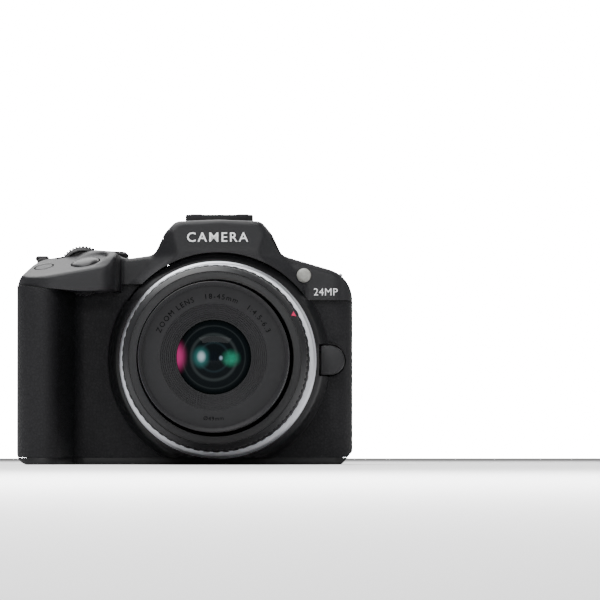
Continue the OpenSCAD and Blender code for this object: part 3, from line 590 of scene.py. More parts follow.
def piece(obj, body, material, replaces=(), angle=32):
    """Finishes a piece: one material, smooth shading by angle, and its place in the frame."""
    obj.data.materials.clear()
    obj.data.materials.append(MATERIALS[material])
    obj.data.polygons.foreach_set("use_smooth", [True] * len(obj.data.polygons))
    obj.data.set_sharp_from_angle(angle=math.radians(angle))
    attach(obj, body)
    if replaces:
        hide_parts(*replaces)
    return obj


def dress(material, *nodes):
    """Gives carried-over CAD nodes a finish."""
    for node in nodes:
        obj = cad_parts[node]
        obj.data.materials.clear()
        obj.data.materials.append(MATERIALS[material])


def repeated(name, item, count, radius, place):
    """Copies of an item evenly round a circle, joined into one mesh by Geometry Nodes."""
    tree = bpy.data.node_groups.new(name + "_array", "GeometryNodeTree")
    tree.interface.new_socket("Geometry", in_out="OUTPUT", socket_type="NodeSocketGeometry")
    sockets = {}
    for label, kind, value in (("Count", "NodeSocketInt", count), ("Radius", "NodeSocketFloat", radius * MM)):
        made = tree.interface.new_socket(label, in_out="INPUT", socket_type=kind)
        sockets[made.identifier] = value
    node = tree.nodes.new
    link = tree.links.new
    given = node("NodeGroupInput")
    ring = node("GeometryNodeMeshCircle")
    points = node("GeometryNodeMeshToPoints")
    index = node("GeometryNodeInputIndex")
    share = node("ShaderNodeMath")
    share.operation = "DIVIDE"
    turn = node("ShaderNodeMath")
    turn.operation = "MULTIPLY"
    turn.inputs[1].default_value = 2 * math.pi
    spin = node("ShaderNodeCombineXYZ")
    part = node("GeometryNodeObjectInfo")
    part.inputs["Object"].default_value = item
    each = node("GeometryNodeInstanceOnPoints")
    real = node("GeometryNodeRealizeInstances")
    paint = node("GeometryNodeSetMaterial")
    paint.inputs["Material"].default_value = item.data.materials[0] if item.data.materials else None
    out = node("NodeGroupOutput")
    link(given.outputs[0], ring.inputs["Vertices"])
    link(given.outputs[1], ring.inputs["Radius"])
    link(ring.outputs[0], points.inputs[0])
    link(index.outputs[0], share.inputs[0])
    link(given.outputs[0], share.inputs[1])
    link(share.outputs[0], turn.inputs[0])
    link(turn.outputs[0], spin.inputs[2])
    link(points.outputs[0], each.inputs["Points"])
    link(part.outputs["Geometry"], each.inputs["Instance"])
    link(spin.outputs[0], each.inputs["Rotation"])
    link(each.outputs[0], real.inputs[0])
    link(real.outputs[0], paint.inputs["Geometry"])
    link(paint.outputs[0], out.inputs[0])
    obj = new_object(name, bmesh.new())
    modifier = obj.modifiers.new("array", "NODES")
    modifier.node_group = tree
    for identifier, value in sockets.items():
        modifier[identifier] = value
    baked(obj)
    obj.data.transform(Matrix.Scale(1 / MM, 4))
    obj.data.transform(place)
    obj.data.transform(Matrix.Scale(MM, 4))
    discard(item)
    return obj


def lettering(name, text, size, place, thick=0.05, align="CENTER", arc=0.0, spacing=1.0, bold=0.0):
    """Raised letters as a mesh, on a circle of radius arc if that is given (along its foot if negative)."""
    curve = bpy.data.curves.new(name, "FONT")
    curve.body = text
    curve.size = size
    curve.extrude = thick
    curve.offset = size * bold
    curve.align_x = align
    curve.align_y = "CENTER"
    curve.space_character = spacing
    curve.resolution_u = 3
    obj = bpy.data.objects.new(name, curve)
    bpy.context.scene.collection.objects.link(obj)
    mesh = bpy.data.meshes.new_from_object(obj.evaluated_get(bpy.context.evaluated_depsgraph_get()))
    bpy.data.objects.remove(obj)
    bpy.data.curves.remove(curve)
    result = bpy.data.objects.new(name, mesh)
    bpy.context.scene.collection.objects.link(result)
    if arc:
        for v in mesh.vertices:
            a = v.co.x / arc
            r = arc + v.co.y
            v.co = Vector((r * math.sin(a), r * math.cos(a), v.co.z))
    mesh.transform(place)
    mesh.transform(Matrix.Scale(MM, 4))
    return result


def front_face(x, y, z, tilt=0.0):
    """Place on a face that looks forward, leaning back by tilt degrees."""
    return Matrix.Translation((x, y, z)) @ Matrix.Rotation(math.radians(90 - tilt), 4, "X")


def back_face(x, y, z):
    """Place on a face that looks back."""
    return Matrix.Translation((x, y, z)) @ Matrix.Rotation(math.pi, 4, "Z") @ Matrix.Rotation(math.pi / 2, 4,
        "X")


# ---- outlines, in millimetres ------------------------------------------------------------

HUMP_Z = 85.7          # top of the hump
DECK_Y = -14.5         # front face beside the hump
HUMP_Y = -19.0         # front face of the hump
NOSE_RIGHT = -33.7     # end of the nose towards the lens
NOSE_SLOPE = 0.3       # rise of the nose's top per millimetre towards the back
NOSE_LEAN = math.radians(-10)   # lean of the nose's top to the grip's outer side
NOSE_PIVOT = (-45.8, 70.0)      # X and Z that the lean turns about


def front_outline(low=0.0):
    return rounded([
        (LEFT, low, 4.5), (LEFT, 63.6, 6), (LEFT + 6.2, 71.2, 9), (-43, 75, 14), (-36.5, 74.2, 4),
                    (-32.5, 72, 3),
        (-22.4, 73.4, 3.5), (-18.9, 80.9, 9), (-15.0, HUMP_Z - 0.6, 4), (0, HUMP_Z, 40),
        (15.0, HUMP_Z - 0.6, 4), (18.9, 80.4, 9), (22.2, 73.2, 3.5),
        (RIGHT, 65.9, 11), (RIGHT, low + 4.6, 1.5), (RIGHT - 3.8, low, 1.5),
    ])


def lower_plan(inset=0.0):
    return rounded([
        (LEFT + inset, REAR_Y - inset, 8 - inset), (LEFT + inset, GRIP_Y + inset, 8.5 - inset),
        (-55.5 - inset * 0.9, GRIP_Y + inset, 6 - inset), (-49.8 - inset * 0.9, FRONT_Y + inset, 5 + inset),
        (RIGHT - inset, FRONT_Y + inset, 7 - inset), (RIGHT - inset, REAR_Y - inset, 5 - inset),
    ], 10)


def inset(points, d):
    """Clockwise outline moved inwards by d."""
    moved = []
    for k, p in enumerate(points):
        along = (points[(k + 1) % len(points)] - points[k - 1]).normalized()
        moved.append(p + Vector((along.y, -along.x)) * d)
    return moved


def stacked(name, *levels):
    """Solid through XZ outlines at rising Y."""
    return loft(name, [[(p[0], y, p[1]) for p in outline] for outline, y in levels])


def nose_z(y):
    return 68.2 + (y + 36.0) * NOSE_SLOPE


def leaning(angle, x=NOSE_PIVOT[0], z=NOSE_PIVOT[1]):
    """Turn about a line along Y through x and z."""
    return Matrix.Translation((x, 0, z)) @ Matrix.Rotation(angle, 4, "Y") @ Matrix.Translation((-x, 0, -z))


def at_nose(x, y):
    """Place on the sloping nose, with local Z along a button's press."""
    z = (NOSE_PIVOT[1] + (nose_z(y) - NOSE_PIVOT[1]) / math.cos(NOSE_LEAN)
         - math.tan(NOSE_LEAN) * (x - NOSE_PIVOT[0]))
    return (Matrix.Translation((x, y, z)) @ Matrix.Rotation(NOSE_LEAN, 4, "Y")
            @ Matrix.Rotation(math.atan(NOSE_SLOPE), 4, "X"))


def release_outline(grow):
    """D of the lens release button, in X and Z."""
    x, r = 39.0, 5.2 + grow
    arc = [Vector((x + r * math.cos(a), LENS_Z + r * math.sin(a)))
           for a in [math.pi / 2 - math.pi * k / 32 for k in range(33)]]
    return arc + [Vector((35.6 - grow, LENS_Z - r)), Vector((35.6 - grow, LENS_Z + r))]


# ---- covers ---------------------------------------------------------------------------------


def upper_solids():
    """The overlapping solids that fuse into the top cover."""
    base = SPLIT_Z - 1.5
    outline = front_outline()
    deck = stacked("deck", (inset(outline, 0.95), DECK_Y), (outline, DECK_Y + 1.1), (outline, REAR_Y))
    plan = rounded([(LEFT, REAR_Y, 8), (LEFT, DECK_Y, 1), (RIGHT, DECK_Y, 7), (RIGHT, REAR_Y, 5)], 8)
    deck = keep(deck, prism("plan", plan, "z", base, 100))
    nose = prism("nose", front_outline(), "y", GRIP_Y, 0)
    plan = rounded([(LEFT, 0, 0.5), (LEFT, GRIP_Y, 13), (NOSE_RIGHT - 1.2, GRIP_Y, 5.5), (NOSE_RIGHT, 0,
        0.5)], 12)
    nose = keep(nose, prism("plan", plan, "z", base, 100))
    shoulder = copy(nose, "shoulder")

    def side(radius):
        return rounded([(GRIP_Y, 30, 0.3), (GRIP_Y, nose_z(GRIP_Y), radius), (-14, 74.8, 1), (0, 75.1, 0.3),
                        (0, 30, 0.3)])

    keep(nose, placed(prism("side", side(0.9), "x", -90, 0), leaning(NOSE_LEAN)))
    # Rounded end of the nose towards the lens, with a bowl in it round the shutter button
    keep(shoulder, placed(prism("side", side(7.0), "x", -90, 0), leaning(NOSE_LEAN - math.radians(8), -48.0)))
    keep(shoulder, block("end", (-48, -60, 40), (-30, 5, 90)))
    bowl = [(0, -0.02), (7.3, -0.02), (7.7, 0.5), (8.3, 2.5), (8.6, 12), (0, 12)]
    cut(shoulder, turned("bowl", bowl, at_nose(-45.8, -29.4), 96))
    hump = stacked("hump", (inset(outline, 2.6), HUMP_Y - 0.1), (outline, -15.9), (outline, 0))
    hump = keep(hump, prism("face", [Vector(p) for p in ((HUMP_Y, 50), (HUMP_Y, 75), (HUMP_Y + 3.0, 90),
                                                         (0, 90), (0, 50))],
                            "x", -30, 30))
    near = [(-29.6, 50), (-29.6, 57.5), (-14.4, 73.5), (-13.6, 100), (13.6, 100), (14.4, 73.5), (29.6, 57.5),
            (29.6, 50)]
    wide = [(-35.5, 50), (-35.5, 57.5), (-23.5, 72.5), (-21.5, 100), (21.5, 100), (23.5, 72.5), (35.5, 57.5),
            (35.5, 50)]
    shoulders = loft("shoulders", [[(x, y, z) for x, z in outline] for outline, y in
                                   ((near, HUMP_Y - 1), (near, HUMP_Y), (wide, DECK_Y + 0.6), (wide, 10))])
    hump = keep(hump, shoulders)
    boss = prism("boss", rounded([(-15, 61, 4), (-15, 81.5, 5), (15, 81.5, 5), (15, 61, 4)]), "y", REAR_Y - 3,
                 24)
    return [deck, nose, shoulder, hump, boss]


def parting_step(drop=0.0):
    """Band above the main parting height that the grained skin takes up, on the grip's side of the lens."""
    low = SPLIT_Z - 0.2
    line = [(-95, 62.3), (LEFT, 62.3), (-64, 61.7), (-58, 61.0), (-52, 60.4), (-47, 60.1), (-41, 60.1),
            (-33.6, 60.4),
            (-33.6, 63.0), (-26.3, 63.0), (-20.5, low)]
    return [Vector((-95, low))] + [Vector((x, max(low, z - drop))) for x, z in line[:-1]] + [Vector(line[-1])]


def inner_space():
    """Hollow inside the top cover."""
    roof = [(-63.5, 40), (-63.5, 62), (-61, 67.6), (-43, 72.2), (-34, 70), (-21, 70.6), (-13.4, 82.8),
            (13.4, 82.8),
            (21, 70.6), (42.6, 63), (42.6, 40)]
    space = prism("space", [Vector(p) for p in roof], "y", DECK_Y + 1.8, REAR_Y - 1.8)
    return space


class CAMERA_OT_top_cover(bpy.types.Operator):
    """Builds the top cover: deck, nose over the grip, hump and eyepiece boss"""

    bl_idname = "camera.top_cover"
    bl_label = "Top cover"

    def execute(self, context):
        sizes = context.scene.camera_sizes
        solids = upper_solids()
        cover = solids[0]
        join(cover, *solids[1:])
        # The nose's underside curves down to the grip, and the hump's foot follows the mount's collar
        cut(cover, rod("under", (-38.2, 18.9), 40.9, -60, DECK_Y - 0.2, steps=96))
        cover = softened(cover, sizes.voxel, 16)
        cut(cover, block("parting", (-90, -60, 30), (90, 60, SPLIT_Z + sizes.gap / 2)))
        cut(cover, prism("parting_step", parting_step(), "y", -60, -sizes.gap / 2))
        cut(cover, inner_space())
        cut(cover, rod("collar", (0, LENS_Z), 37.7, -60, -11, steps=128))
        wells = [
            rod("mode_well", (-42, 7.4), 10.0, 70.7, 90, "z", 96),
            rod("power_well", (-59.6, 3.6), 5.2, 69.7, 90, "z"),
            rod("iso_well", (-60.2, -9), 2.8, 60, 90, "z", 48),
            block("dial_well", (-56.6, -18.2, 58.7), (-38.0, -13.0, 90)),
            block("flash_well", (-60, -14.7, 79.1), (60, -2.2, 100)),
            block("shoe_seat", (-12.0, -1.9, 84.15), (12.0, 30, 100)),
            block("tunnel", (-9, 12, 66), (9, 30, 77.5)),
            block("dioptre_slot", (-19, 17, 67.8), (-15.02, 30, 77)),
            block("lug_slot_left", (-80, 3, 60.4), (-68.4, 14, 63.6)),
        ]
        cut(cover, *wells)
        lug = block("lug_slot_right", (-1.4, 3, 1.2), (1.4, 14, 6))
        lug.data.transform(Matrix.Translation((0.0413, 0, 0.0644)) @ Matrix.Rotation(math.radians(30), 4,
            "Y"))
        cut(cover, lug)
        for x, y, r in ((-45.8, -29.4, 5.25), (-60.4, -25.4, 3.55)):
            cut(cover, turned("button_well", [(0, -8), (r, -8), (r, 9), (0, 9)], at_nose(x, y), 64))
        # Slits at the hump's sides, where the flash head's arms lie
        slit = [Vector(p) for p in ((-21.3, 76.2), (-20.7, 75.8), (-18.8, 79.3), (-19.4, 79.8))]
        cut(cover, prism("slit", slit, "y", -18, -13), prism("slit",
                                                             [Vector((-p.x - 0.3, p.y - 0.5)) for p in slit],
                                                             "y", -18, -13))
        cut(cover, rod("lamp_hole", (29.9, 66.1), 2.62, -40, -12))
        piece(cover, "camera_body", "cover", ["top_cover"], angle=40)
        cover.name = "top_cover_shell"
        return {"FINISHED"}


class CAMERA_OT_lower_covers(bpy.types.Operator):
    """Builds the front cover with its collar, the grained skins, the rear cover and the base"""

    bl_idname = "camera.lower_covers"
    bl_label = "Lower covers"

    def execute(self, context):
        sizes = context.scene.camera_sizes
        t = sizes.skin_t
        gap = sizes.gap / 2
        low, high = BASE_T + gap, SPLIT_Z - gap

        def body(name, z0, z1, inset=0.0, below=0.0):
            solid = prism(name, lower_plan(inset), "z", z0, z1)
            return keep(solid, prism("outline", front_outline(below), "y", -60, 60))

        def release(grow=0.35):
            return prism("release", release_outline(grow), "y", -60, 0)

        # Front cover: a shell under the skins, with the flared collar round the mount
        front = cut(body("front_shell", low, high, t), body("space", -5, 90, t + 2.2, -4),
                    block("rear_half", (-90, 0, -5), (90, 90, 90)))
        collar = turned("collar", [(33.7, -8.0), (38.6, -8.0), (38.9, -6.6), (37.9, -5.3), (36.9, -3.2),
                                   (36.2, -1.7),
                                   (35.6, -1.25), (34.2, -1.1), (33.7, -1.5)])
        keep(collar, block("height", (-60, -60, low), (60, 60, high + 30)))
        join(front, rod("web", (0, LENS_Z), 38.4, FRONT_Y + 0.2, FRONT_Y + 1.8, steps=128))
        keep(front, block("height", (-90, -60, low), (90, 60, high)))
        cut(front, rod("bore", (0, LENS_Z), 33.9, -60, 0, steps=128), release())
        piece(front, "camera_body", "moulding", ["front_cover"])
        cut(collar, release(), block("top", (-60, -60, high), (60, 60, 90)))
        piece(collar, "camera_body", "gloss")
        collar.name = "mount_collar"
        # Upper half of the collar, inside the top cover's arch
        arch = turned("collar_arch", [(33.7, -7), (37.55, -7), (37.5, -4.4), (36.8, -3.6), (35.2, -3.0),
                                      (34.2, -2.6),
                                      (33.7, -2.8)])
        keep(arch, block("height", (-60, -60, high), (60, 60, 90)))
        piece(arch, "camera_body", "gloss")

        # Skins
        for name, x0, x1, material, node in (("grip_skin_cover", -90, -5, "skin", "grip_skin"),
                                             ("front_skin_cover", 5, 90, "skin", "front_skin")):
            skin = body(name, low, high)
            if x0 < 0:
                upper = keep(body("upper_skin", high - 0.1, 66), prism("step", parting_step(sizes.gap), "y",
                                                                       -60, 0))
                join(skin, upper)
            cut(skin, prism("inside", lower_plan(t - 0.02), "z", -5, 90),
                block("rear", (-90, -gap, -5), (90, 90, 90)))
            keep(skin, block("side", (x0, -60, 0), (x1, 60, 90)))
            cut(skin, rod("bore", (0, LENS_Z), 38.15, -60, 0, steps=128), release())
            bevelled(skin, 0.25, 2, 50)
            piece(skin, "camera_body", material, [node])

        # Rear cover, with the screen's recess and the controls' holes
        rear = cut(body("rear_shell", low, high), body("space", -5, 90, 1.8, -4),
                   block("front_half", (-90, -90, -5), (90, gap, 90)))
        glass_x0 = box_mm("screen_panel")[0][0]
        z0, z1 = box_mm("screen_panel")[0][2], box_mm("screen_panel")[1][2]
        backing = keep(block("backing", (glass_x0 - 3, 13.2, z0 - 2.4), (60, REAR_Y - 0.5, z1 + 2.4)),
                       body("trim", low, high))
        join(rear, backing)
        cut(rear, block("recess", (glass_x0 - 0.3, 15, z0 - 0.3), (90, 90, z1 + 0.3)))
        holes = [(-38, 12, 2.7), (-37.5, 49, 2.7), (-50, 12, 2.7), (-51.8, 53.4, 2.4), (-60.6, 52.4, 2.4),
                 (-49.5, 30, 10.2)]
        cut(rear, *[rod("hole", (x, z), r + 0.25, 10, 60) for x, z, r in holes])
        cut(rear, block("jack", (RIGHT - 3.4, 4.9, 37.9), (90, 13.5, 50.1)), block("port", (-90, 4.5, 15.9),
            (LEFT + 3.4, 12.7, 42.1)))
        bevelled(rear, 0.35, 2, 60)
        hinge_x = box_mm("screen_hinge")[1][0] - 2.5
        hinge_y = middle("screen_hinge", 1)
        hinge_low, hinge_high = box_mm("screen_hinge")[0][2] - 0.5, box_mm("screen_hinge")[1][2] + 0.5
        knuckles = []
        for a, b in ((hinge_low, hinge_low + 16.7), (hinge_high - 16.7, hinge_high)):
            knuckle = rod("knuckle", (hinge_x, hinge_y), 2.45, a, b, "z", 48)
            join(knuckle, block("foot", (hinge_x - 1.4, 14.6, a), (hinge_x + 1.4, hinge_y, b)))
            cut(knuckle, rod("pin", (hinge_x, hinge_y), 0.86, a - 1, b + 1, "z", 32))
            knuckles.append(bevelled(knuckle, 0.25))
        lips = []
        for z0, z1, x0, x1 in ((BASE_T - 0.3, BASE_T + 1.6, -90, 90), (SPLIT_Z - 1.2, SPLIT_Z + 1.4, -90,
                                                                       -35), (SPLIT_Z - 1.2, SPLIT_Z + 1.4,
                                                                           35, 90)):
            lip = cut(body("lip", z0, z1, 3.3), body("inside", z0 - 3, z1 + 3, 4.6, -4))
            lips.append(keep(lip, block("side", (x0, -60, -5), (x1, 60, 90))))
        rear = merged("rear_cover_shell", [rear] + knuckles + lips)
        piece(rear, "camera_body", "moulding", ["rear_cover"])

        # Thumb rest: a soft ridge of skin beside the screen
        rest = hull("thumb_rest", [(-58.5, 17.4, 47.0, 2.6), (-44.5, 17.0, 47.6, 2.4), (-58.0, 18.2, 43.8,
            2.8), (-44.5, 17.2, 44.6, 2.2)])
        cut(rest, block("trim", (-90, -10, 0), (90, 18.0, 90)))
        piece(rest, "camera_body", "skin", angle=60)

        # Base: plate with holes for the tripod socket and the screws, and the battery door's opening
        base = body("base_shell", 0, BASE_T)
        cut(base, rod("socket", (0, 0), 6.05, -2, 6, "z"), block("door", (-63.8, -11.5, -2), (-34.2, 10, 6)))
        cut(base, *[rod("screw", (x, y), 1.85, -2, 6, "z", 32) for x, y in BASE_SCREWS])
        bevelled(base, 0.3, 2, 50)
        piece(base, "camera_body", "moulding", ["base_cover"])
        return {"FINISHED"}


BASE_SCREWS = ((-26, 12), (-62, 15), (20, -8), (38, 11), (38, -8), (10, 11.5))


# ---- lens -----------------------------------------------------------------------------------


class CAMERA_OT_lens(bpy.types.Operator):
    """Builds the lens: rings, ribs, name plate, front glass and marks"""

    bl_idname = "camera.lens"
    bl_label = "Lens"

    def execute(self, context):
        sizes = context.scene.camera_sizes
        silver = turned("silver_band", [(31.2, 1.65), (33.9, 1.65), (34.3, 1.8), (SILVER_R, 2.1),
                                        (SILVER_R, 3.7),
                                        (34.3, 4.2), (33.7, 4.62), (33.4, 4.7), (31.2, 4.7)])
        piece(silver, "camera_body", "silver", ["silver_ring"])
        barrel = turned("rear_barrel", [
            (20.4, -4.8), (22.3, -4.8), (22.3, 1.7), (31.1, 1.7), (31.1, 4.75), (31.7, 4.75), (31.9, 4.95),
                                        (31.9, 6.9),
            (31.7, 7.1), (31.7, 7.5), (31.9, 7.7), (31.85, 11.4), (31.65, 11.6), (29.8, 11.6), (29.8, 39.8),
                                        (28.8, 39.8),
            (28.8, 7.2), (22.3, 4.9), (22.3, 18), (20.4, 18)])
        baffle = turned("baffle", [(13.4, -4.8), (20.6, -4.8), (20.6, -3.6), (13.4, -3.6)], steps=96)
        piece(merged("rear_barrel_shell", [barrel, baffle]), "camera_body", "barrel",
              ["base_barrel"])

        core = turned("zoom_core", [(29.87, 11.85), (31.8, 11.85), (32.0, 12.1), (32.0, 13.9), (31.7, 14.2),
                                    (31.7, 31.5),
                                    (31.9, 31.7), (32.0, 31.9), (32.0, 32.8), (31.8, 33.1), (31.5, 33.2),
                                    (29.87, 33.2)])
        rib = block("rib", (31.4, -0.98, 14.35), (32.2, 0.98, 31.5))
        bevelled(rib, 0.28, 3)
        rib.data.materials.append(MATERIALS["barrel"])
        ribs = repeated("zoom_ribs", rib, sizes.zoom_ribs, 0.0, LENS)
        ring = merged("zoom_ring_grip", [core, ribs])
        piece(ring, "zoom_ring", "barrel", ["zoom_ring"])

        ring = turned("control_core", [
            (29.87, 33.45), (31.0, 33.45), (31.2, 33.7), (31.2, 39.3), (31.3, 39.5), (31.3, 40.55),
                                       (31.2, 40.75),
            (29.65, 42.2), (29.6, 41.7), (29.3, 41.7), (29.25, 42.25), (29.1, 42.3), (26.85, 42.3),
                                       (26.7, 42.15),
            (26.7, 40.3), (29.87, 40.3)])
        tooth = block("tooth", (31.0, -0.62, 34.0), (31.5, 0.62, 38.9))
        bevelled(tooth, 0.2, 2)
        tooth.data.materials.append(MATERIALS["bevel"])
        teeth = repeated("control_teeth", tooth, 96, 0.0, LENS)
        piece(merged("control_ring_band", [ring, teeth]), "control_ring", "bevel",
              ["control_ring"])

        grooves = []
        count = 8
        for k in range(count):
            r, h = 18.0 - 0.655 * k, 41.2 - 0.455 * k
            grooves += [(r, h), (r - 0.16, h - 0.40), (r - 0.24, h - 0.455)]
        plate = [(24.2, 9.4), (25.5, 9.4), (25.5, 44.05), (25.3, 44.3), (25.15, 44.3), (24.4, 43.75)]
        for k in range(5):
            h = 43.5 - k * 0.42
            plate += [(24.62, h), (24.3, h - 0.2)]
        plate += [(24.3, 41.35), (24.0, 41.2)] + grooves + [(12.7, 37.5), (12.7, 28), (14, 28), (14, 36.8),
                                                                         (20, 39.6), (24.2, 39.6)]
        piece(turned("name_plate", plate, EXTENDED), "inner_barrel", "plate", ["inner_barrel"],
              angle=24)

        dome = [(0, 29.2), (9, 30.4), (12.6, 32.8), (12.6, 35.0)]
        dome += [(12.6 * math.cos(a), 35.0 + 2.75 * math.sin(a)) for a in [math.pi / 2 * k / 14
            for k in range(1, 14)]] + [(0, 37.75)]
        piece(turned("front_element", dome, EXTENDED), "inner_barrel", "front_glass",
              ["front_glass"], angle=50)

        words = [lettering("lens_words", "ZOOM LENS   18-45mm   1:4.5-6.3", 2.5,
                           EXTENDED @ Matrix.Translation((0, 0, 41.22)),
                           0.03, arc=20.4, spacing=1.28),
                 lettering("filter_size", "Ø49mm", 1.9, EXTENDED @ Matrix.Translation((0, 0, 41.22)),
                           0.03, arc=-20.9, spacing=1.15)]
        piece(merged("lens_words", words), "inner_barrel", "black_print")

        mark = prism("index_mark", [Vector((-0.95, 0.9)), Vector((0.95, 0.9)), Vector((0.0, -0.9))], "z",
                     -0.06, 0.08)
        lean = Matrix.Translation((0, 30.43, 41.48)) @ Matrix.Rotation(-math.atan2(1.45, 1.55), 4, "X")
        placed(mark, LENS @ Matrix.Rotation(math.radians(-61), 4, "Z") @ lean)
        piece(mark, "control_ring", "mark")
        return {"FINISHED"}


# ---- controls on the top and front ------------------------------------------------------------


class CAMERA_OT_controls(bpy.types.Operator):
    """Builds the dials, buttons, lamp, release button and strap lugs"""

    bl_idname = "camera.controls"
    bl_label = "Controls"

    def execute(self, context):
        nose = at_nose(-45.8, -29.4)
        cap = [(0, 1.18), (1.4, 1.15), (2.8, 1.02), (3.8, 0.80), (4.5, 0.48), (4.85, 0.1), (4.9, -0.3),
               (4.9, -3.3), (0, -3.3)]
        piece(turned("shutter_cap", cap, nose, 96), "shutter_button", "gloss",
              ["shutter_button"])
        cap = [(0, 0.1), (2.7, 0.1), (3.05, 0.0), (3.15, -0.25), (3.15, -3.6), (0, -3.6)]
        piece(turned("movie_cap", cap, at_nose(-60.4, -25.4), 64), "movie_button", "cover",
              ["movie_button"])
        cap = [(0, 0.45), (1.6, 0.5), (2.3, 0.6), (2.5, 0.35), (2.5, -4.8), (0, -4.8)]
        piece(turned("iso_cap", cap, Matrix.Translation((-60.2, -9, 71.6)), 64), "iso_button", "moulding",
              ["iso_button"])

        place = Matrix.Translation((-47.3, -15.6, 67.7)) @ Matrix.Rotation(math.pi / 2, 4, "X")
        core = turned("main_core", [(0, -2.3), (7.6, -2.3), (8.3, -1.9), (8.3, 1.0), (8.1, 1.2), (7.3, 2.2),
                                    (7.0, 2.3), (6.7, 2.1), (6.6, 1.3),
                                    (0, 1.3)], place, 96)
        tooth = bevelled(block("tooth", (8.1, -0.36, -2.05), (8.7, 0.36, 0.95)), 0.15, 2)
        tooth.data.materials.append(MATERIALS["moulding"])
        shaft = turned("shaft", [(0, -4.6), (1.2, -4.6), (1.2, 4.6), (0, 4.6)], place, 32)
        teeth = repeated("main_teeth", tooth, 44, 0.0, place)
        piece(merged("main_dial_wheel", [core, shaft, teeth]), "main_dial", "moulding",
              ["main_dial"])

        place = Matrix.Translation((-42, 7.4, 0))
        core = turned("mode_core", [(0, 71.0), (9.0, 71.0), (9.35, 71.3), (9.35, 74.3), (8.9, 75.0),
                                    (8.3, 75.2), (7.9, 75.05), (0, 75.0)],
                      place, 128)
        tooth = bevelled(block("tooth", (9.1, -0.33, 71.2), (9.7, 0.33, 74.4)), 0.15, 2)
        tooth.data.materials.append(MATERIALS["moulding"])
        teeth = repeated("mode_teeth", tooth, 60, 0.0, place)
        shaft = turned("shaft", [(0, 66), (2, 66), (2, 71.2), (0, 71.2)], place, 32)
        piece(merged("mode_dial_wheel", [core, shaft, teeth]), "mode_dial", "moulding",
              ["mode_dial"])
        marks = ["M", "A", "S", "P", "AUTO", "C1", "C2", "B"]
        words = []
        for k, text in enumerate(marks):
            turn = Matrix.Rotation(math.radians(-45 * k), 4, "Z")
            words.append(lettering("mode_word", text, 2.3 if len(text) < 4 else 1.7,
                                   place @ turn @ Matrix.Translation((0, 6.2, 75.03)), 0.04))
        piece(merged("mode_words", words), "mode_dial", "print")

        lever = turned("power_disc", [(0, 70.0), (4.9, 70.0), (4.9, 72.1), (4.6, 72.5), (3.9, 72.6),
                                      (3.6, 72.45), (0, 72.4)],
                       Matrix.Translation((-59.6, 3.6, 0)), 96)
        tab = hull("power_tab", [(-59.6 - 4.5, 3.6, 72.7, 0.95), (-61.2, 3.6, 72.7, 0.95)])
        stem = turned("stem", [(0, 67.3), (1.5, 67.3), (1.5, 70.2), (0, 70.2)],
                      Matrix.Translation((-59.6, 3.6, 0)), 32)
        piece(merged("power_switch", [lever, tab, stem]), "power_lever", "moulding",
              ["power_lever"])

        lamp = turned("lamp_dome", [(0, 10.0), (2.5, 10.0), (2.5, 15.2), (2.3, 15.7), (1.7, 16.15),
                                    (0.9, 16.35), (0, 16.4)],
                      Matrix.Translation((29.9, 0, 66.1)) @ Matrix.Rotation(math.pi / 2, 4, "X"), 64)
        piece(lamp, "camera_body", "lamp", ["af_lamp"])

        button = prism("release_cap", release_outline(-0.05), "y", -17.0, -9)
        bevelled(button, 0.45, 3, 60)
        tab = block("release_tab", (27.6, -10.4, LENS_Z - 2.6), (38, -8.7, LENS_Z + 2.6))
        piece(merged("release_cap", [button, tab]), "lens_release", "cover",
              ["release_button"])

        lugs = []
        for length, place in ((4.7, Matrix.Translation((LEFT + 3.1, 0, 62))),
                              (5.4, Matrix.Translation((41.3, 0,
                                                        64.4)) @ Matrix.Rotation(math.radians(30 + 90), 4,
                                                            "Y")
                               @ Matrix.Translation((2, 0, 0)))):
            outline = rounded([(-length, 4, 1.6), (0, 4, 0.2), (0, 13, 0.2), (-length, 13, 1.6)])
            slot = rounded([(-length + 1.1, 5.4, 0.9), (-length + 3.3, 5.4, 0.9), (-length + 3.3, 11.6, 0.9),
                            (-length + 1.1, 11.6, 0.9)])
            lug = cut(prism("lug", outline, "z", -0.55, 0.55), prism("slot", slot, "z", -2, 2))
            bevelled(lug, 0.18, 2, 50)
            placed(lug, place)
            lugs.append(lug)
        piece(merged("strap_loops", lugs), "camera_body", "cast", ["strap_lugs"])

        words = [lettering("hump_word", "CAMERA", 4.8, front_face(-0.3, -18.33, 79.2, 11.3), 0.07,
                           spacing=1.22, bold=0.008),
                 lettering("series_word", "24MP", 3.6, front_face(37.5, DECK_Y - 0.02, 60.2), 0.06,
                           spacing=1.05)]
        piece(merged("front_words", words), "camera_body", "print")
        return {"FINISHED"}


# ---- back, base and shoe ------------------------------------------------------------------------

BUTTONS = (
    ("menu_button", -38, 12, 2.7), ("info_button", -37.5, 49, 2.7), ("play_button", -50, 12, 2.7),
    ("lock_button", -51.8, 53.4, 2.4), ("point_button", -60.6, 52.4, 2.4),
)


def facing_back(x, z):
    """Local frame on the back: Z runs out of the back, heights count from the body's middle."""
    return Matrix.Translation((x, 0, z)) @ Matrix.Rotation(-math.pi / 2, 4, "X")


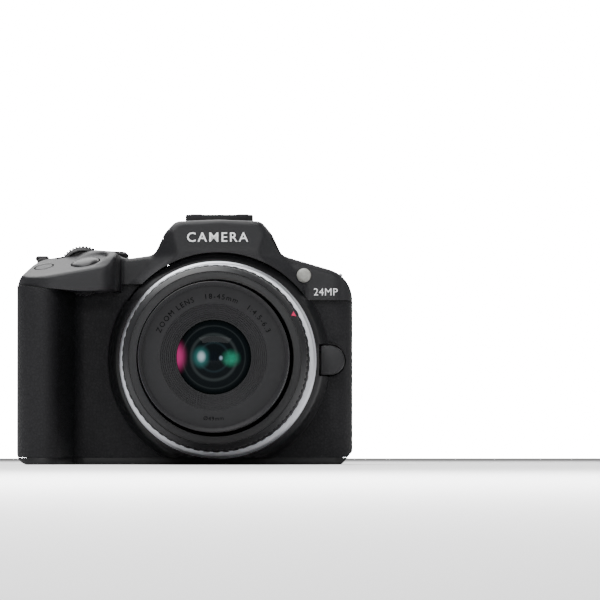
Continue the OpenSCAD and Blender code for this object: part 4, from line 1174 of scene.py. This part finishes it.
class CAMERA_OT_back(bpy.types.Operator):
    """Builds the back: screen, buttons, cross pad, eyecup, shoe, flaps and the base's door"""

    bl_idname = "camera.back"
    bl_label = "Back and base"

    def execute(self, context):
        # Buttons with a soft dish, and their printed signs
        for name, x, z, r in BUTTONS:
            cap = [(0, 19.45), (r * 0.5, 19.5), (r * 0.8, 19.68), (r * 0.93, 19.66), (r, 19.4), (r, 16.4),
                   (r + 0.7, 16.4),
                   (r + 0.7, 15.4), (0, 15.4)]
            body = name
            piece(turned(name + "_cap", cap, facing_back(x, z), 64), body, "moulding",
                  [name])
        for text, x, z, size in (("MENU", -38, 16.4, 1.9), ("INFO", -37.5, 53.2, 1.9), ("DISP", -50, 16.4,
            1.9)):
            words = lettering(text + "_word", text, size, back_face(x, REAR_Y + 0.02, z), 0.04)
            piece(words, "camera_body", "print")
        arrow = [Vector((-0.55, -0.7)), Vector((0.75, 0)), Vector((-0.55, 0.7))]
        sign = prism("play_sign", arrow, "z", 0, 0.05)
        sign.data.transform(Matrix.Scale(1 / MM, 4))
        sign.data.transform(back_face(-50, 19.47, 12))
        sign.data.transform(Matrix.Scale(MM, 4))
        piece(sign, "play_button", "print")
        star = lettering("lock_sign", "*", 3.0, back_face(-51.8, 19.52, 52.9), 0.05)
        piece(star, "lock_button", "print")
        dots = merged("point_sign", [rod("dot", (-60.6 + dx, 52.4 + dz), 0.22, 19.4, 19.56, steps=16)
                                     for dx, dz in ((0, 0), (0.8, 0), (-0.8, 0), (0, 0.8), (0, -0.8))])
        piece(dots, "point_button", "print")

        pad = turned("pad_ring", [(4.7, 19.6), (5.3, 19.75), (8.6, 20.0), (9.6, 19.95), (10.1, 19.65),
                                  (10.2, 19.2), (10.2, 16.4),
                                  (10.9, 16.4), (10.9, 15.4), (4.7, 15.4)], facing_back(-49.5, 30), 128)
        piece(pad, "cross_pad", "moulding", ["cross_pad"])
        tips = []
        for k in range(4):
            place = back_face(-49.5, 19.92, 30) @ Matrix.Rotation(math.pi / 2 * k, 4, "Z")
            tip = prism("tip", [Vector((7.1, -0.6)), Vector((8.1, 0)), Vector((7.1, 0.6))], "z", 0, 0.09)
            tip.data.transform(Matrix.Scale(1 / MM, 4))
            tip.data.transform(place)
            tip.data.transform(Matrix.Scale(MM, 4))
            tips.append(tip)
        piece(merged("pad_signs", tips), "cross_pad", "print")
        cap = [(0, 19.4), (2.6, 19.45), (3.8, 19.65), (4.25, 19.6), (4.4, 19.3), (4.4, 15.2), (1.5, 15.2),
               (1.5, 14.4), (5.4, 14.4),
               (5.4, 13.4), (0, 13.4)]
        piece(turned("set_cap", cap, facing_back(-49.5, 30), 64), "set_button", "cover",
              ["set_button"])
        word = lettering("set_word", "SET", 1.9, back_face(-49.5, 19.45, 30), 0.05)
        piece(word, "set_button", "print")

        # Screen
        low, high = box_mm("screen_panel")
        frame_outline = rounded([(low[0], low[2], 2.5), (low[0], high[2], 2.5), (high[0], high[2], 0.8),
                                 (high[0], low[2], 0.8)])
        panel = prism("screen_frame", frame_outline, "y", low[1], high[1])
        cut(panel, block("seat", (low[0] + 1.55, high[1] - 0.95, low[2] + 1.55), (high[0] - 1.55, 60,
            high[2] - 1.55)))
        cut(panel, block("notch", (high[0] - 6.06, 0, 21.9 + 0.0), (60, high[1] - 1.6, 38.9)))
        bevelled(panel, 0.35, 3, 50)
        piece(panel, "screen", "moulding", ["screen_panel"])
        low, high = box_mm("screen_glass")
        glass_outline = rounded([(low[0], low[2], 1.2), (low[0], high[2], 1.2), (high[0], high[2], 1.2),
                                 (high[0], low[2], 1.2)])
        cover = bevelled(prism("screen_cover_glass", glass_outline, "y", low[1], high[1]), 0.2, 2, 50)
        piece(cover, "screen", "screen", ["screen_glass"])
        active = prism("screen_active", rounded([(low[0] + 2.6, low[2] + 2.6, 0.4), (low[0] + 2.6,
            high[2] - 2.6, 0.4),
                                                 (high[0] - 2.6, high[2] - 2.6, 0.4), (high[0] - 2.6,
                                                     low[2] + 2.6, 0.4)]),
                       "y", high[1] - 0.2, high[1] + 0.015)
        piece(active, "screen", "display")
        dress("screw", "screen_hinge")

        # Eyepiece: eyecup with a deep soft hood, lens and dioptre wheel
        def cup(x, z0, z1, y0, y1, r, name="cup"):
            return prism(name, rounded([(-x, z0, r), (-x, z1, r), (x, z1, r), (x, z0, r)], 10), "y", y0, y1)

        eye = loft("eyecup_hood", [
            [(p[0], y, p[1]) for p in rounded([(-w, 71.3 - h, 5), (-w, 71.3 + h, 5.5), (w, 71.3 + h, 5.5),
                                               (w, 71.3 - h, 5)], 10)]
            for w, h, y in ((14.6, 10.1, 24.05), (15.0, 10.5, 24.6), (14.7, 10.2, 26.2), (15.2, 10.7, 28.6),
                            (15.2, 10.7, 30.2),
                            (14.7, 10.2, 30.8))])
        cut(eye, cup(9.5, 66, 77.5, 20, 40, 1.5), cup(13.0, 62.8, 79.9, 27.6, 40, 4.2))
        bevelled(eye, 0.4, 3, 50)
        piece(eye, "camera_body", "rubber", ["eyecup"])
        pane = keep(block("eyepiece_pane", (-8.6, 17.9, 66.4), (8.6, 21.4, 77.1)),
                    hull("dome", [(0, -14, 71.75, 35.4)], 160))
        piece(pane, "camera_body", "eyepiece", ["viewfinder_lens"])
        wheel = turned("wheel", [(0, 15.6), (3.6, 15.6), (3.75, 15.75), (3.75, 18.2), (3.55, 18.4),
                                 (0, 18.4)],
                       Matrix.Translation((0, 21.6, 72.4)) @ Matrix.Rotation(-math.pi / 2, 4, "Y"), 64)
        tooth = bevelled(block("tooth", (3.6, -0.16, 15.75), (3.98, 0.16, 18.2)), 0.06, 1)
        tooth.data.materials.append(MATERIALS["moulding"])
        teeth = repeated("teeth", tooth, 30, 0.0, Matrix.Translation((0, 21.6,
                                                                      72.4)) @ Matrix.Rotation(-math.pi / 2,
                                                                          4, "Y"))
        shaft = rod("shaft", (21.6, 72.4), 1.2, -15.7, -12.4, "x", 32)
        piece(merged("dioptre_wheel", [wheel, teeth, shaft]), "diopter_dial", "moulding",
              ["diopter_dial"])

        # Shoe
        seat = block("seat", (-11.9, -1.8, 84.2), (11.9, REAR_Y - 1, 84.8))
        lip = prism("lip", rounded([(-11.9, 84.5, 0.1), (-11.9, 88.0, 0.6), (11.9, 88.0, 0.6),
                                    (11.9, 84.5, 0.1)]), "y", -1.8, 0.6)
        join(seat, lip)
        piece(bevelled(seat, 0.25, 2), "camera_body", "moulding", ["shoe_base"])
        rails = [(-10.2, 84.85), (10.2, 84.85), (10.2, 88.3), (6.3, 88.3), (6.3, 87.4), (9.35, 87.4),
                 (9.35, 85.55), (-9.35, 85.55),
                 (-9.35, 87.4), (-6.3, 87.4), (-6.3, 88.3), (-10.2, 88.3)]
        shoe = bevelled(prism("shoe_rails", [Vector(p) for p in rails], "y", 1, REAR_Y - 1.4), 0.14, 2)
        piece(shoe, "camera_body", "dark_steel", ["hot_shoe"])
        bed = prism("shoe_bed", rounded([(-4.2, 3.6, 0.6), (4.2, 3.6, 0.6), (4.2, 14.4, 0.6),
                                         (-4.2, 14.4, 0.6)]), "z", 85.5, 85.75)
        piece(bed, "camera_body", "moulding")
        contacts = [rod("contact", p, r, 85.6, 85.95, "z", 32) for p, r in
                    (((0, 9), 1.15), ((-2.6, 6), 0.75), ((2.6, 6), 0.75), ((-2.6, 12), 0.75),
                     ((2.6, 12), 0.75))]
        piece(merged("shoe_contacts", contacts), "camera_body", "gold")

        # Flash head, folded into the hump
        head = keep(prism("flash_cap", front_outline(), "y", -14.4, -2),
                    prism("side", [Vector(p) for p in [(-3.6 - 11 * math.cos(a), 84.2 - 11 * math.sin(a))
                                                    for a in [math.radians(11 + 3.6 * k) for k in range(5)]]
                                   + [(-7, 79.4)]
                                   + [(-3.6 + 1.2 * math.cos(a), 84.2 + 1.2 * math.sin(a))
                                      for a in [math.radians(-60 + 15 * k) for k in range(10)]]
                                   + [(-4.6, 87), (-14.4, 87)]], "x", -40, 40))
        cut(head, block("window", (-12.4, -13.0, 70), (12.4, -7.6, 80.8)), block("ear", (-11.0, -5.3, 70),
            (-8.6, 9, 100)),
            block("ear", (8.6, -5.3, 70), (11.0, 9, 100)))
        bevelled(head, 0.3, 2, 40)
        pin = rod("pin", (-3.6, 84.2), 0.6, -11.9, 11.9, "x", 24)
        piece(merged("flash_cap", [head, pin]), "flash", "cover", ["flash_head"])
        ears = []
        for x in (-10.7, 8.9):
            ear = rod("ear", (-3.6, 84.2), 1.1, x, x + 1.8, "x", 32)
            join(ear, block("post", (x, -4.5, 77.9), (x + 1.8, -2.7, 84.2)))
            cut(ear, rod("bore", (-3.6, 84.2), 0.67, x - 1, x + 3, "x", 24))
            ears.append(ear)
        piece(merged("flash_ears", ears), "camera_body", "moulding")
        floor = block("flash_floor", (-17.5, -14.6, 77.4), (17.5, -2.0, 79.05))
        piece(floor, "camera_body", "moulding")

        # Side flaps, each with printed signs
        for name, node, side in (("jack_flap", "jack_cover", 1), ("port_flap", "port_cover", -1)):
            low, high = box_mm(node)
            outline = rounded([(low[1], low[2], 0.7), (high[1], low[2], 1.1), (high[1], high[2], 1.1),
                               (low[1], high[2], 0.7)])
            flap = bevelled(prism(name, outline, "x", low[0], high[0]), 0.3, 3, 50)
            piece(flap, node, "rubber", [node])
            face = high[0] if side > 0 else low[0]
            place = Matrix.Translation((face, (low[1] + high[1]) / 2,
                                        0)) @ Matrix.Rotation(side * math.pi / 2, 4, "Z") \
                @ Matrix.Rotation(math.pi / 2, 4, "X")
            words = [("MIC", high[2] - 3.4)] if side > 0 else [("USB", high[2] - 6.0), ("HDMI", low[2] + 6.2)]
            signs = [lettering("sign", text, 2.1, place @ Matrix.Translation((0, z, 0)), 0.04) for text,
                     z in words]
            piece(merged(name + "_words", signs), node, "grey_print")

        # Battery door, its latch and its printed label
        low, high = box_mm("battery_door")
        door = prism("door_plate", [Vector(p) for p in rounded([(-11.2, 0.02, 0.2), (-11.2, 2.3, 0.2),
                                                                (9.3, 2.3, 0.9), (9.3, 0.02, 0.9)])],
                     "x", -63.5, -34.5)
        cut(door, block("latch_bay", (-53.2, -9.2, -1), (-44.8, -2.0, 1.2)))
        bevelled(door, 0.18, 2, 50)
        pin = rod("pin", (8.4, 1.2), 0.7, low[0], high[0], "x", 32)
        piece(merged("door_plate", [door, pin]), "battery_door", "moulding",
              ["battery_door"])
        latch = block("latch_slider", (-53, -8.9, 0.25), (-45, -4.5, 1.1))
        cut(latch, *[block("groove", (-52, -8.2 + 0.9 * k, 0), (-46, -7.8 + 0.9 * k, 0.5)) for k in range(4)])
        piece(bevelled(latch, 0.12, 2), "door_latch", "cover", ["door_latch"])
        label = lettering("door_word", "BATTERY / CARD", 2.3, Matrix.Translation((-49, 3.6,
            0.0)) @ Matrix.Rotation(math.pi, 4, "Y"), 0.02)
        label.data.transform(Matrix.Translation((0, 0, 0.03 * MM)))
        piece(label, "battery_door", "grey_print")
        return {"FINISHED"}


class CAMERA_OT_stage(bpy.types.Operator):
    """Adds the floor, the soft studio light and the camera"""

    bl_idname = "camera.stage"
    bl_label = "Stage"

    def execute(self, context):
        half = context.scene.camera_sizes.floor
        bm = bmesh.new()
        bmesh.ops.create_grid(bm, x_segments=1, y_segments=1, size=half)
        floor = new_object("floor", bm)
        s = Sheet("pale_floor")
        grain = s.noise(60.0, 3.0)
        floor.data.materials.append(s.finish(base_color=s.blend(grain, (0.86, 0.86, 0.87, 1),
                                                                (0.90, 0.90, 0.90, 1)),
                                             roughness=0.55 + grain * 0.1))
        world = bpy.data.worlds.new("studio")
        world.use_nodes = True
        tree = world.node_tree
        light, sky, mix = tree.nodes["Background"], tree.nodes.new("ShaderNodeBackground"), tree.nodes.new("ShaderNodeMixShader")
        light.inputs[1].default_value = STUDIO
        sky.inputs[1].default_value = BACKDROP
        for background in (light, sky):
            background.inputs[0].default_value = (1, 1, 1, 1)
        tree.links.new(tree.nodes.new("ShaderNodeLightPath").outputs["Is Camera Ray"], mix.inputs[0])
        tree.links.new(light.outputs[0], mix.inputs[1])
        tree.links.new(sky.outputs[0], mix.inputs[2])
        tree.links.new(mix.outputs[0], tree.nodes["World Output"].inputs[0])
        context.scene.world = world
        for name, spot, size, power in LAMPS:
            light = bpy.data.lights.new(name, "AREA")
            light.shape = "RECTANGLE"
            light.size, light.size_y = size
            light.energy = power
            obj = bpy.data.objects.new(name, light)
            obj.location = spot
            obj.rotation_euler = (Vector((0, 0, 0.04)) - Vector(spot)).to_track_quat("-Z", "Y").to_euler()
            context.scene.collection.objects.link(obj)
        # A low lamp over the floor in front, so that the foreground stays as pale as the backdrop
        light = bpy.data.lights.new("foreground", "AREA")
        light.size = 0.5
        light.energy = 13.0
        obj = bpy.data.objects.new("foreground", light)
        obj.location = (0.0, -1.2, 0.34)
        context.scene.collection.objects.link(obj)
        data = bpy.data.cameras.new("camera")
        data.sensor_width = 36.0
        data.lens = FOCAL
        data.clip_start = 0.002
        data.clip_end = 20
        cam = bpy.data.objects.new("camera", data)
        sight = Vector((math.sin(AZIMUTH) * math.cos(RISE), -math.cos(AZIMUTH) * math.cos(RISE),
                        math.sin(RISE)))
        aim = Vector((0, -14, LENS_Z)) * MM
        cam.location = aim + sight * DISTANCE
        look = (-sight).to_track_quat("-Z", "Y").to_matrix().to_4x4()
        # The part stands left of the frame's centre and below it
        aside = Matrix.Rotation(-math.atan(81.6 / 600 * 36 / FOCAL), 4,
                                "Y") @ Matrix.Rotation(math.atan(60.4 / 600 * 36 / FOCAL), 4, "X")
        cam.matrix_world = Matrix.Translation(cam.location) @ look @ aside
        context.scene.collection.objects.link(cam)
        context.scene.camera = cam
        return {"FINISHED"}


FOCAL = 325.9
DISTANCE = 1.9
AZIMUTH = math.radians(1.4)
RISE = math.radians(-1.0)
STUDIO = 0.26
BACKDROP = 20.0
LAMPS = (
    ("overhead", (-0.25, -0.05, 0.85), (1.3, 0.7), 17.0),
    ("rim", (0.10, 0.70, 0.65), (1.6, 0.4), 8.0),
    ("front_left", (-0.45, -0.8, 1.0), (0.6, 0.6), 3.6),
    ("side_right", (1.1, -0.5, 0.5), (0.4, 0.8), 2.0),
)


class CAMERA_OT_dress(bpy.types.Operator):
    """Finishes the inner parts that come straight from the frame"""

    bl_idname = "camera.dress"
    bl_label = "Inner parts"

    def execute(self, context):
        dress("steel", "mount_ring", "lens_mount", "lock_pin", "port_sockets")
        dress("screw", "screws")
        dress("cast", "chassis", "tripod_socket", "cam_tube")
        dress("gold", "body_contacts")
        dress("inner", "shutter_unit", "viewfinder_unit", "iris_unit", "focus_cell", "battery", "memory_card")
        dress("circuit", "main_board")
        dress("inner_glass", "image_sensor", "rear_glass")
        dress("lamp", "flash_window")
        return {"FINISHED"}


class CAMERA_PT_panel(bpy.types.Panel):
    """Camera tools"""

    bl_label = "Mirrorless camera"
    bl_idname = "CAMERA_PT_panel"
    bl_space_type = "VIEW_3D"
    bl_region_type = "UI"
    bl_category = "Camera"

    def draw(self, context):
        for name in CameraSizes.__annotations__:
            self.layout.prop(context.scene.camera_sizes, name)
        for name in CameraFinish.__annotations__:
            self.layout.prop(context.scene.camera_finish, name)
        for operator in OPERATORS:
            self.layout.operator(operator.bl_idname)


OPERATORS = (CAMERA_OT_top_cover, CAMERA_OT_lower_covers, CAMERA_OT_lens, CAMERA_OT_controls, CAMERA_OT_back,
             CAMERA_OT_dress, CAMERA_OT_stage)
CLASSES = (CameraFinish, CameraSizes) + OPERATORS + (CAMERA_PT_panel,)


def register():
    for cls in CLASSES:
        bpy.utils.register_class(cls)
    bpy.types.Scene.camera_sizes = PointerProperty(type=CameraSizes)
    bpy.types.Scene.camera_finish = PointerProperty(type=CameraFinish)


def unregister():
    del bpy.types.Scene.camera_finish
    del bpy.types.Scene.camera_sizes
    for cls in reversed(CLASSES):
        bpy.utils.unregister_class(cls)


def main():
    register()
    make_materials(bpy.context.scene.camera_finish)
    for operator in OPERATORS:
        group, name = operator.bl_idname.split(".")
        getattr(getattr(bpy.ops, group), name)()
    bpy.context.view_layer.update()


if __name__ == "__main__":
    main()
